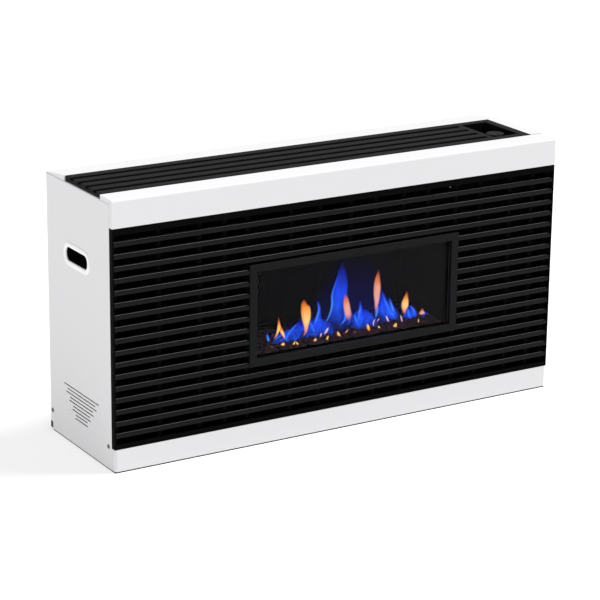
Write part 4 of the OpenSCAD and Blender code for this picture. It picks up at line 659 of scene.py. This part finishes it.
heads = [part for side in (-1, 1) for place in screws for part in cross_head(side, place)]
make_piece("grip_frames", [grip_ring(side) for side in (-1, 1)], "white_plastic", stands_for=["grip_rings"])
make_piece("panel_screw_heads", heads, "dull_screw", stands_for=["panel_screws"])

# %% [markdown]
# ## Top fascia
# The white band over the grille is a folded cap with a level lip behind it. Its front top edge is
# a small radius, and behind the front band it is cut back to clear the side panels' folds. One
# outline runs along the width. Near each end it changes to the cut-back outline, so six stations
# are enough.

# %% Top fascia
fascia_low, fascia_high = box_mm("top_fascia")
rail_low, rail_high = box_mm("upper_rail")
clear, seam, front_drop = 0.3, 1.6, 1.6


def fascia_outline(lip_z):
    """(y, z) outline: band down to its foot, lip up to the outlet grille, radius at the front."""
    corners = [[0, fascia_low[2]], [edge_front - seam, fascia_low[2]], [edge_front - seam, lip_z],
               [fascia_high[1], lip_z], [fascia_high[1], fascia_high[2]], [0, fascia_high[2] - front_drop]]
    return round_corners(corners, [0.8, 0.6, 0.6, 0.6, 0.8, 4.2])


points, faces = run_along("x", fascia_outline(rail_high[2] + clear), np.zeros(6))
rings = points.reshape(6, -1, 3)
rings[[0, 1, 4, 5], :, 1:] = fascia_outline(edge_top + clear)
cut_x = half_width - fold - 1
rings[..., 0] = np.array([-half_width, -cut_x, -cut_x, cut_x, cut_x, half_width])[:, None]
make_piece("top_fascia_cap", [(points, faces)], "white_enamel", stands_for=["top_fascia"], bevel=1.2)

# %% [markdown]
# ## Bottom fascia
# The plinth is the same fold turned up: its vertical corners are round. The outline here is the
# plan, run along the height.

# %% Bottom fascia and rear rail
plinth_high = box_mm("bottom_fascia")[1]
plan = round_corners(rectangle(-half_width, half_width, 0, edge_front - seam), [6, 6, 0.5, 0.5], 8)
make_piece("bottom_fascia_cap", [run_along("z", plan, (0, plinth_high[2]))], "white_enamel",
           stands_for=["bottom_fascia"], bevel=1.0)

strip_low, strip_high = box_mm("rear_rail")
outlet_low, outlet_high = box_mm("outlet_grille")
rail_front, case_top, rail_thick = outlet_high[1] + clear, outlet_high[2], 1.5
slope = [[rail_front, edge_top + clear], [edge_rear, edge_top + clear],
         [edge_rear, edge_top + rail_thick], [rail_front, case_top]]
rail_parts = [
    run_along("x", round_corners(slope, [0.1, 0.1, 0.4, 0.8], 4), (strip_low[0], strip_high[0])),
    bar(outlet_high[0] + clear, strip_high[0], outlet_low[1], rail_front - 0.05, edge_top + clear, case_top),
    bar(-cut_x, cut_x, rail_front, rail_front + rail_thick, rail_high[2], edge_top + 2)]
make_piece("rear_rail_cap", rail_parts, "white_enamel", stands_for=["rear_rail"], bevel=0.4)

# %% [markdown]
# ## Outlet grille
# Warm air leaves through four long slots between five bars. Bars and closed end are one plate,
# cut like a comb, so its outline goes in and out round each slot. The plate stands on thin walls
# and cross ribs, with one more wall under the bars' tips, and a rounded hole at the right opens
# onto the controls.

# %% Outlet grille
bar_count, bar_wide, bar_thick, wall_thick = 5, 20.4, 5.0, 2.5
closed_zone, rib_count, rib_deep = 90.0, 9, 10.0
slot_wide = (outlet_high[1] - outlet_low[1] - bar_count * bar_wide) / (bar_count - 1)
zone_x = outlet_high[0] - closed_zone
comb = [[outlet_low[0], outlet_low[1]], [outlet_high[0], outlet_low[1]], [outlet_high[0], outlet_high[1]]]
for i in range(bar_count - 1, 0, -1):
    upper = outlet_low[1] + i * (bar_wide + slot_wide)
    comb += [[outlet_low[0], upper + bar_wide], [outlet_low[0], upper],
             [zone_x, upper], [zone_x, upper - slot_wide]]
comb += [[outlet_low[0], outlet_low[1] + bar_wide]]
rim_low, rim_high = box_mm("control_well")
rim, hole_radius = 5.0, 1.5
well_centre = (rim_low[:2] + rim_high[:2]) / 2
well_size = rim_high[:2] - rim_low[:2] - 2 * rim
under = case_top - bar_thick
grille_top = plate("z", comb, [round_rect(well_centre, *well_size, hole_radius)], under, case_top)


def cross_wall(x, low, high):
    """A wall at x, from the front wall to the rear wall of the grille."""
    return bar(x, x + wall_thick, outlet_low[1] + wall_thick, outlet_high[1] - wall_thick, low, high)


walls = [bar(-cut_x, outlet_high[0], y, y + wall_thick, rail_high[2], under)
         for y in (outlet_low[1], outlet_high[1] - wall_thick)]
walls += [cross_wall(x, rail_high[2], under) for x in (-cut_x, outlet_high[0] - wall_thick)]
walls += [cross_wall(x, under - rib_deep, under)
          for x in np.linspace(outlet_low[0], zone_x, rib_count + 2)[1:-1]]
walls += [bar(outlet_low[0], outlet_low[0] + wall_thick, outlet_low[1], outlet_high[1], edge_top, under)]
make_piece("outlet_comb", [grille_top, *walls], "black_grille", stands_for=["outlet_grille"], bevel=1.6,
           finish="black_outlet")

# %% [markdown]
# ## Knob and button
# The knob is moulded with fifteen scooped flutes. Each flute is a circle of 1.6 mm radius cut
# into the rim, so the outline's radius drops by the depth of that circle. A groove on top points
# to the setting. The top layer is a plate whose outline steps in along the groove.

# %% Knob and button
knob_low, knob_high = box_mm("control_knob")
knob_centre = (knob_low[:2] + knob_high[:2]) / 2
knob_radius, skirt_radius, skirt_high = 19.0, 21.0, 4.0
flute_radius, flute_places, knob_steps = 1.6, 16, 288
groove_wide, groove_deep, groove_in = 1.6, 1.0, 6.0


def fluted(radius):
    """Radius against angle: full radius, less the depth of the nearest flute's circle. The place
    at the front has no flute, because the groove ends there."""
    angle = np.linspace(-np.pi / 2, 1.5 * np.pi, knob_steps, endpoint=False)
    pitch = 2 * np.pi / flute_places
    offset = (angle + np.pi / 2 + pitch / 2) % pitch - pitch / 2
    front = np.abs((angle + np.pi) % (2 * np.pi) - np.pi + np.pi / 2) < pitch / 2
    depth = np.sqrt(np.clip(flute_radius ** 2 - (radius * offset) ** 2, 0, None)) * ~front
    ray = np.stack([np.cos(angle), np.sin(angle)], -1)
    return knob_centre + ray * (radius - depth)[:, None]


def knob_body():
    """Fluted outlines stacked along Z, a little narrower towards the top."""
    heights = np.array([knob_low[2] + skirt_high - 0.5, knob_high[2] - 3, knob_high[2] - groove_deep])
    rings = np.empty((3, knob_steps, 3))
    for row, radius in enumerate((knob_radius, knob_radius - 0.2, knob_radius - 0.4)):
        rings[row][:, :2], rings[row][:, 2] = fluted(radius), heights[row]
    return loft(rings)


top = fluted(knob_radius - 0.5)
rim_line = top[np.abs(top[:, 0] - knob_centre[0]) > groove_wide / 2]
from_front = np.arctan2(rim_line[:, 0] - knob_centre[0], knob_centre[1] - rim_line[:, 1]) % (2 * np.pi)
rim_line = rim_line[np.argsort(from_front)]
steps_in = knob_centre + [[-groove_wide / 2, -knob_radius + 0.6], [-groove_wide / 2, -groove_in],
                          [groove_wide / 2, -groove_in], [groove_wide / 2, -knob_radius + 0.6]]
lid = plate("z", np.concatenate([rim_line, steps_in]), [], knob_high[2] - groove_deep, knob_high[2])
skirt_top = knob_low[2] + skirt_high
skirt = turned([(skirt_radius, knob_low[2]), (skirt_radius, skirt_top - 1),
                (skirt_radius - 0.3, skirt_top - 0.3), (skirt_radius - 1, skirt_top)], knob_centre, steps=96)
make_piece("control_knob_fluted", [knob_body(), lid, skirt], "black_plastic", body="knob",
           stands_for=["control_knob"], bevel=0.3)

button_low, button_high = box_mm("ignition_button")
button_centre = (button_low[:2] + button_high[:2]) / 2
crown = [(6, 1.6), (5.8, 0.7), (5.2, 0.15), (4.4, 0), (3.4, 0.15), (1.8, 0.5), (0.5, 0.6)]
button = turned([(6, button_low[2])] + [(radius, button_high[2] - drop) for radius, drop in crown],
                button_centre)
make_piece("ignition_button_cap", [button], "grey_plastic", body="ignition_button",
           stands_for=["ignition_button"])

# %% [markdown]
# ## Slatted front
# Each slat is a folded black strip: a face 10 mm high and a shelf 8 mm deep. From above, its
# rounded top edge catches the light as a thin bright line over the darker face, so that edge needs
# a true radius. The window interrupts nine of the slats. A frame of angles and channels holds
# them, with a leg behind that covers the side panels' folds.

# %% Slats and frame
slats_low, slats_high = box_mm("grille_slats")
window_low, window_high = box_mm("window_bezel")
frame_low, frame_high = box_mm("grille_frame")
slat_count, slat_face, slat_shelf, slat_sheet, window_gap = 17, 10.0, 8.0, 2.0, 1.0
slat_tops = np.linspace(slats_high[2], slats_low[2] + slat_face, slat_count)
front, back = slats_low[1], slats_low[1] + slat_shelf


def slat_outline(top):
    """(y, z) outline of a folded strip: face down from the top, shelf back from it."""
    corners = [[front, top - slat_face], [front + slat_sheet, top - slat_face],
               [front + slat_sheet, top - slat_sheet], [back, top - slat_sheet], [back, top], [front, top]]
    return round_corners(corners, [0.7, 0.7, 0.3, 0.5, 0.5, 4.0], 8)


slats = []
for top in slat_tops:
    beside = window_low[2] - window_gap < top and top - slat_face < window_high[2] + window_gap
    spans = [(slats_low[0], window_low[0] - window_gap), (window_high[0] + window_gap, slats_high[0])]
    for ends in spans if beside else [(slats_low[0], slats_high[0])]:
        slats.append(run_along("x", slat_outline(top), ends))
make_piece("front_slats", slats, "black_grille", stands_for=["grille_slats"])

side_wide, leg_wide, top_rail, foot_rail, thick = 3.0, fold + 2, 12.7, 8.8, 2.0
z0, z1 = frame_low[2], frame_high[2]
angle_plan = [[-half_width, 0], [-half_width + side_wide, 0], [-half_width + side_wide, edge_front - thick],
              [-half_width + leg_wide, edge_front - thick], [-half_width + leg_wide, edge_front],
              [-half_width, edge_front]]
angle_plan = round_corners(angle_plan, [0.8, 0.5, 0.4, 0.4, 0.4, 0.2])
top_section = [[0, z1 - top_rail], [thick, z1 - top_rail], [thick, z1 - thick], [edge_front, z1 - thick],
               [edge_front, z1], [0, z1]]
top_section = round_corners(top_section, [0.6, 0.6, 0.3, 0.4, 0.4, 0.6])
foot_section = [[0, z0], [edge_front, z0], [edge_front, z0 + thick], [thick, z0 + thick],
                [thick, z0 + foot_rail - thick], [back, z0 + foot_rail - thick],
                [back, z0 + foot_rail], [0, z0 + foot_rail]]
foot_section = round_corners(foot_section, [0.6, 0.4, 0.4, 0.3, 0.3, 0.4, 0.4, 2.6])
inner = half_width - side_wide
frame_parts = [run_along("z", angle_plan * [s, 1], (z0, z1)) for s in (1, -1)]
frame_parts += [run_along("x", section, (-inner, inner)) for section in (top_section, foot_section)]
# The frame wears the darker black coat: painted shade round the slats.
make_piece("front_frame", frame_parts, "black_grille", stands_for=["grille_frame"], finish="painted_shade_black")

# %% [markdown]
# ## Window bezel
# Four pressed rails, mitred at the corners, stand just proud of the slats. Each rail is a
# U-shaped pressing, run to its mitre. The thin gap between two mitres is the dark line that the
# corner shows.

# %% Bezel
rail_wide, side_rail_wide, rail_sheet = 15.0, 16.5, 1.2
seat_y = window_high[1]
inner_depth = box_mm("window_glass")[0][1] - clear


def frame_corners(inset):
    """The four corners of the bezel's outline, moved in by a share of the rails' widths."""
    move = inset * np.array([side_rail_wide, rail_wide])
    low, high = window_low[[0, 2]] + move, window_high[[0, 2]] - move
    return rectangle(low[0], high[0], low[1], high[1])


def mitred_rail(side, gap=0.2):
    """A U-shaped section between two mitres: each section point is a share of the rail's width
    and a depth, and each end lies on the line from the outer to the inner corner."""
    section = np.array([[0, seat_y], [0, 0.9], [0.02, 0.25], [0.06, 0], [0.94, 0], [0.98, 0.25],
                        [1, 0.9], [1, inner_depth], [0.93, inner_depth], [0.93, rail_sheet],
                        [0.07, rail_sheet], [0.07, seat_y]])
    ends = np.array([frame_corners(share)[[side, (side + 1) % 4]] for share in section[:, 0]])
    along = ends[:, 1] - ends[:, 0]
    along /= np.linalg.norm(along, axis=1, keepdims=True)
    rings = np.empty((2, len(section), 3))
    for row, sign in enumerate((1, -1)):
        rings[row][:, [0, 2]], rings[row][:, 1] = ends[:, row] + sign * gap * along, section[:, 1]
    return loft(rings)


make_piece("window_frame", [mitred_rail(s) for s in range(4)], "black_bezel", stands_for=["window_bezel"])

# %% [markdown]
# ## Ember bed
# Lumps of ceramic lie on a black tray. Each lump is a small globe of seven rings whose radius is
# shaken at random, then squashed and turned. Only its steep edges stay sharp: heat has worn the
# broken fibre smooth. All lumps are made at once, in one array.

# %% Ember stones
tray_low, tray_high = box_mm("ember_tray")
lump_size, pitch_x, pitch_y, bed_rear = 8.5, 16.5, 14.5, 150.0


def lumps(centres, size, rings=7, columns=10, rough=0.22, pole=0.46):
    """Globe points, direction times a shaken radius, for every centre in one array."""
    tilt = np.linspace(-pole, pole, rings)[:, None] * np.pi
    turn = np.linspace(0, 2 * np.pi, columns, endpoint=False)[None]
    ray = np.stack([np.cos(tilt) * np.cos(turn), np.cos(tilt) * np.sin(turn), np.sin(tilt) + 0 * turn], -1)
    count = len(centres)
    shake = 1 + rough * (random.random((count, rings, columns, 1)) - 0.5) * 2
    squash = size * random.uniform(0.75, 1.25, (count, 1, 1, 3)) * [1, 0.9, 0.62]
    spin = random.uniform(0, 2 * np.pi, (count, 1, 1))
    local = ray * shake * squash
    x = local[..., 0] * np.cos(spin) - local[..., 1] * np.sin(spin)
    y = local[..., 0] * np.sin(spin) + local[..., 1] * np.cos(spin)
    points = np.stack([x, y, local[..., 2]], -1) + centres[:, None, None]
    return [loft(stone) for stone in points]


bed_x, bed_y = np.meshgrid(np.arange(tray_low[0] + 11, tray_high[0] - 8, pitch_x),
                           np.arange(tray_low[1] + 10, bed_rear, pitch_y))
places = np.stack([bed_x, bed_y, np.full(bed_x.shape, tray_high[2] + 0.5)], -1).reshape(-1, 3)
places += random.uniform(-1, 1, places.shape) * [4.5, 4.0, 2.0]
make_piece("ember_lumps", lumps(places, lump_size), "ember_ceramic", stands_for=["ember_stones"])

# %% [markdown]
# ## Tongues of flame
# Each tongue is given by a few rows: a height, and where its left and right sides are there. A
# smooth curve through the rows gives as many rings as needed, and each ring is an ellipse, wide
# along the burner and flat in depth.

# %% Flame shapes


def smooth_rows(rows, count):
    """Catmull-Rom curve through the rows: between two rows it blends their values and slopes."""
    rows = np.asarray(rows, float)
    slope = np.gradient(rows, axis=0)
    place = np.linspace(0, len(rows) - 1, count)
    k = np.minimum(place.astype(int), len(rows) - 2)
    t = (place - k)[:, None]
    return ((2 * t ** 3 - 3 * t ** 2 + 1) * rows[k] + (t ** 3 - 2 * t ** 2 + t) * slope[k]
            + (3 * t ** 2 - 2 * t ** 3) * rows[k + 1] + (t ** 3 - t ** 2) * slope[k + 1])


def tongue(y, rows, flat=0.5, count=30, columns=20):
    """Ellipses round the middle of each row, with a map of the place across and up."""
    z, left, right = smooth_rows(rows, count).T
    half = np.maximum((right - left) / 2, 0.3)
    angle = np.linspace(0, 2 * np.pi, columns, endpoint=False)
    rings = np.empty((count, columns, 3))
    rings[..., 0] = ((left + right) / 2)[:, None] + half[:, None] * np.cos(angle)
    rings[..., 1] = y + flat * half[:, None] * np.sin(angle)
    rings[..., 2] = z[:, None]
    points, faces = loft(rings)
    across = np.broadcast_to((1 + np.cos(angle)) / 2, (count, columns))
    up = np.broadcast_to(np.linspace(0, 1, count)[:, None], (count, columns))
    return points, faces, np.stack([across, up], -1).reshape(-1, 2)


soot_rows = [
    (66, [(182, -119, -115), (190, -115, -109), (197, -112, -106), (204, -111, -102), (211, -110, -103),
          (218, -109, -105), (229, -108, -107)]),
    (68, [(176, -52, -48), (185, -48, -40), (194, -48, -38), (204, -51, -35), (214, -54, -32),
          (225, -56, -32), (233, -56, -34), (241, -56, -40), (248, -54, -44), (254, -49, -48)]),
    (70, [(212, -44, -33), (222, -43, -32), (230, -43, -32), (236, -40, -34), (240, -37, -36)]),
    (72, [(190, 54, 60), (199, 50, 65), (207, 48, 65), (216, 46, 63), (225, 45, 61), (234, 45, 59),
          (242, 46, 55), (250, 49, 50)]),
    (74, [(193, 122, 126), (201, 121, 128), (212, 120, 129), (220, 120, 131), (230, 118, 133),
          (240, 117, 134), (251, 117, 135), (261, 118, 134), (272, 121, 132), (279, 124, 131),
          (288, 128, 129)]),
    (68, [(184, 187, 191), (194, 183, 194), (202, 181, 198), (210, 181, 199), (217, 184, 198),
          (225, 188, 197), (235, 193, 194)]),
    (66, [(178, 225, 236), (182, 223, 238), (186, 226, 235), (194, 231, 231.5)]),
    (66, [(178, -94, -91), (187, -99, -93), (194, -104, -95), (201, -107, -98), (210, -108, -102)]),
]
gas_rows = [
    (92, [(170, 0, 74), (188, 12, 72), (198, 21, 70), (208, 27, 68), (221, 29, 67), (231, 28, 67),
          (242, 29, 67), (252, 32, 67), (264, 37, 68), (277, 41, 66), (288, 44, 63), (298, 47, 60),
          (314, 52, 54)]),
    (86, [(176, -20, 4), (190, -15, 4), (200, -12, 3), (210, -8, 2), (221, -5, 1), (231, -6, -1),
          (244, -5, -4)]),
    (84, [(168, 83, 102), (182, 87, 100), (192, 90, 99), (203, 92, 99), (214, 91, 98), (228, 92, 94)]),
    (90, [(166, 130, 194), (183, 133, 184), (194, 135, 174), (204, 138, 168), (215, 141, 161),
          (226, 142, 156), (239, 145, 149)]),
    (96, [(164, 158, 200), (179, 163, 192), (190, 164, 187), (202, 163, 179), (218, 165, 168)]),
    (86, [(164, -128, -50), (172, -122, -46), (179, -100, -42), (188, -70, -35), (197, -55, -34),
          (208, -46, -40)]),
    (88, [(162, 196, 236), (173, 199, 235), (181, 204, 231), (189, 208, 225), (197, 214, 218)]),
    (84, [(163, 230, 260), (171, 232, 260), (177, 238, 254)]),
    (90, [(164, -60, 40), (176, -50, 34), (186, -36, 26), (196, -20, 14), (204, -6, 0)]),
    (90, [(164, 60, 140), (176, 66, 136), (188, 74, 128), (198, 84, 118), (206, 98, 106)]),
]
haze_rows = [
    (104, [(156, -150, 268), (168, -144, 264), (180, -130, 256), (192, -96, 230), (206, -40, 196),
           (222, 10, 150)]),
    (112, [(160, -70, 240), (185, -50, 226), (215, -24, 200), (250, 4, 178), (285, 26, 156),
           (325, 60, 110)]),
]
streak_lines = [
    [(186, 9), (198, 17), (214, 24), (231, 27), (246, 26), (265, 32), (285, 40), (304, 47)],
    [(178, 42), (186, 54), (200, 58), (216, 53)],
    [(184, -17), (196, -12), (210, -7), (222, -4), (234, -7), (241, -9)],
    [(172, -13), (183, -17), (195, -23), (205, -26)],
    [(176, 87), (184, 84), (194, 80), (201, 79)],
    [(181, 87), (192, 90), (204, 92), (214, 93), (226, 91)],
    [(169, 181), (181, 172), (196, 162), (213, 153), (229, 146), (243, 142)],
    [(181, 130), (191, 132), (203, 135), (212, 136)],
    [(182, 176), (197, 170), (212, 165), (222, 162)],
    [(171, 225), (182, 223), (192, 216), (196, 209)],
    [(167, 216), (176, 211), (186, 208), (193, 206)],
    [(167, -81), (178, -76), (188, -67), (198, -56), (205, -46)],
    [(167, -118), (176, -120), (185, -122), (194, -123)],
    [(171, -107), (178, -97), (181, -88), (186, -82)],
    [(166, -75), (175, -80), (183, -84), (188, -86)],
]


def streak(points, wide=5.5, y=84):
    """A thin tongue along a line of (height, x): half the width follows a sine, full in the
    middle of the line."""
    z, x = np.array(points, float).T
    half = wide / 2 * np.sin(np.linspace(0.3, np.pi - 0.2, len(z)))
    return y, np.stack([z, x - half, x + half], -1)


rosy_rows = [soot_rows.pop(i) for i in (6, 4, 3)]
streaks = [streak(line) for line in streak_lines]
for name, rows_of, flat, finish in (("yellow_flames", soot_rows, 0.35, "soot_flame"),
                                    ("rosy_flames", rosy_rows, 0.35, "rosy_flame"),
                                    ("blue_flames", gas_rows, 0.5, "gas_flame"),
                                    ("blue_streaks", streaks, 0.4, "gas_edge"),
                                    ("flame_haze", haze_rows, 0.12, "gas_haze")):
    make_piece(name, [tongue(y, rows, flat) for y, rows in rows_of], "ember_ceramic", finish=finish)

# %% [markdown]
# ## Small flames on the embers
# Where gas burns at an edge of a lump, a small flame stands on it. Each is a tongue like the big
# ones, given by its place, height, width and lean, and some bend. They are orange low on the bed
# and pale violet where they stand in the blue gas.

# %% Small flames on the embers


def glint(x, z, tall, wide, lean, bend=0.0, y=50):
    """A small tongue through a line: x + lean * share + bend * (1 - share squared), where the
    share goes from -1 at the foot to 1 at the tip."""
    share = np.array([-1.0, -0.4, 0.2, 0.7, 1.0])
    half = wide / 2 * np.array([0.5, 1.0, 0.9, 0.5, 0.1])
    line = x + lean * share + bend * (1 - share ** 2)
    return tongue(y, np.stack([z + tall / 2 * share, line - half, line + half], -1), 0.5, 12, 10)


warm_glints = [(-129, 170, 12, 2.5, -4), (-108, 173, 13, 11, 3), (-82, 171, 14, 5, 3.5),
               (-73, 170.5, 12, 5, -4.5), (-33, 171, 10, 8, 2), (-3, 171, 12, 5, 1.5, -2),
               (22, 173.5, 18, 7.5, -3.5), (40, 178, 8, 3, 4), (57, 169, 12, 5.5, 3.5),
               (91, 178, 18, 7.5, -2.5), (117, 174, 9, 5, -3), (155, 171, 14, 9, 2.5),
               (179, 166, 11, 2.5, 2), (209, 170, 18, 3.5, 2, 2)]
pale_glints = [(-20, 180, 10, 3.5, 2), (-7, 186.5, 16, 6, 5), (107, 186, 19, 3, 2, -4),
               (114, 190, 8, 2.5, 4), (136, 189, 17, 5, -4), (170, 184, 18, 4, -2.5)]
for name, rows_of, finish in (("ember_glints", warm_glints, "ember_glint"),
                              ("pale_glints", pale_glints, "pale_glint")):
    make_piece(name, [glint(*row) for row in rows_of], "ember_ceramic", finish=finish)

# %% [markdown]
# ## Gas inlet thread
# The inlet at the back has a parallel pipe thread, 14 turns to the inch. Its radius is a zigzag
# of the place along the axis, and the zigzag moves on by one pitch in each turn. Three more rings
# make the bore and the hidden end, and the last ring joins the first.

# %% Inlet fitting
fitting_low, fitting_high = box_mm("inlet_fitting")
inlet_centre = (fitting_low[[0, 2]] + fitting_high[[0, 2]]) / 2
plate_low, plate_high = box_mm("back_plate")
collar_long, collar_proud, hex_radius, hex_long = 2.5, 3.0, 15.5, 12.0
bore_radius, thread_radius, collar_end = 6.5, 10.48, plate_high[1] + collar_long


def threaded(start, end, depth=1.1, pitch=1.814, columns=48):
    """Radius = the thread's, less depth * zigzag(length / pitch - turn), and less the full depth at
    both ends."""
    length = np.linspace(start, end, int((end - start) / pitch * 8))
    turn = np.arange(columns) / columns
    zigzag = np.abs(((length[:, None] / pitch - turn) % 1) * 2 - 1)
    ends = np.minimum(length - start, end - length)[:, None]
    radius = thread_radius - depth * np.maximum(zigzag, np.clip(1 - ends / pitch, 0, 1))
    more = [(bore_radius, end), (bore_radius, fitting_low[1]), (thread_radius, fitting_low[1])]
    radius = np.concatenate([radius, np.repeat([[r] for r, y in more], columns, 1)])
    length = np.concatenate([length, [y for r, y in more]])[:, None]
    ray = np.array([np.cos(2 * np.pi * turn), np.sin(2 * np.pi * turn)])[:, None]
    x, z = inlet_centre[:, None, None] + radius * ray
    return np.stack([x, length + 0 * radius, z], -1)


collar = [(thread_radius + collar_proud, y) for y in (plate_high[1], collar_end)]
make_piece("inlet_fitting_threaded", [
    hoop(threaded(collar_end, fitting_high[1])),
    turned(collar, inlet_centre, "y"),
    run_along("y", circle(inlet_centre, hex_radius, 6), (plate_low[1] - hex_long, plate_low[1]))],
    "brass", stands_for=["inlet_fitting"])

# %% [markdown]
# ## Camera
# The picture was taken from the left and above with a long lens. The camera's place and angles
# come from matching sixteen corners of the case.

# %% Camera
image_px, focal_px, sensor_mm = 600, 2377.6, 36.0
yaw, pitch, roll = (math.radians(a) for a in (31.197, 17.554, 0.664))
forward = Vector((math.sin(yaw) * math.cos(pitch), math.cos(yaw) * math.cos(pitch), -math.sin(pitch)))
level = Vector((math.cos(yaw), -math.sin(yaw), 0))
above = level.cross(forward)
right = level * math.cos(roll) + above * math.sin(roll)
up = above * math.cos(roll) - level * math.sin(roll)
camera = add_object("camera", bpy.data.cameras.new("camera"))
camera.data.sensor_width = sensor_mm
camera.data.lens = sensor_mm * focal_px / image_px
camera.data.clip_end = 100
camera.matrix_world = Matrix.Translation((-2.35894, -3.88479, 1.66117)) @ Matrix(
    (right, up, -forward)).transposed().to_4x4()
bpy.context.scene.camera = camera
print("lens:", round(camera.data.lens, 1), "mm on a sensor of 36 mm")

# %% [markdown]
# ## Floor
# The floor is plain and pale, a table of milky acrylic lit from below as product photographers
# use. A black card below the heater is a painted shadow: it keeps that light out of its open base,
# where a real floor would lie in shade. The card is a hole in the table that has its own dark face.

# %% Floor
floor_size, inset = 40.0, 0.001
# The card fills the heater's footprint: a painted shadow under it.
shadow_card_low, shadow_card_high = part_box("bottom_fascia")[0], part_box("back_plate")[1]
around = np.concatenate([
    rectangle(-floor_size, floor_size, -floor_size, floor_size),
    rectangle(shadow_card_low[0] + inset, -shadow_card_low[0] - inset, shadow_card_low[1] + inset, shadow_card_high[1])])
floor_mesh = bpy.data.meshes.new("floor")
floor_mesh.from_pydata([(x, y, 0) for x, y in around.tolist()], [],
                       [(0, 1, 5, 4), (1, 2, 6, 5), (2, 3, 7, 6), (3, 0, 4, 7), (4, 5, 6, 7)])
floor_mesh.polygons.foreach_set("material_index", [0, 0, 0, 0, 1])
floor = add_object("floor", floor_mesh)
material, tree, place = new_material("milky acrylic lit from below")
shader = add_node(tree, "BsdfPrincipled", {
    "Base Color": linear("#CCCCCC"), "Roughness": 0.9, "Specular IOR Level": 0.0,
    "Emission Color": linear("#FFFFFF"), "Emission Strength": 0.5})
floor_mesh.materials.append(finished(material, tree, shader))
floor_mesh.materials.append(grained("black card as painted shadow under the heater", "#0C0C0C", "#080808", (0.9, 1.0),
                                    5.0, 0.01, 0.0))
print("the card is", round((shadow_card_high[1] - shadow_card_low[1] - inset) / MM), "mm deep")

# %% [markdown]
# ## Light
# The white room fills in from all sides, and a broad soft lamp shines from high up on the right.
# The camera stands on the left, so every edge that runs along the width mirrors the lamp to it
# as a thin bright line.

# %% Light
world = bpy.data.worlds.new("soft studio")
bpy.context.scene.world = world
world.use_nodes = True
world.node_tree.nodes["Background"].inputs["Color"].default_value = linear("#FFFFFF")
world.node_tree.nodes["Background"].inputs["Strength"].default_value = 0.65
lamp = add_object("broad lamp", bpy.data.lights.new("broad lamp", "SUN"))
lamp.data.energy, lamp.data.angle = 2.6, math.radians(19)
azimuth, elevation = math.radians(74), math.radians(60)
toward = Vector((math.sin(azimuth) * math.cos(elevation), -math.cos(azimuth) * math.cos(elevation),
                 math.sin(elevation)))
lamp.rotation_euler = toward.to_track_quat("Z", "Y").to_euler()
bpy.context.scene.view_settings.view_transform = "Standard"
print("the lamp shines from", [round(part, 2) for part in toward])
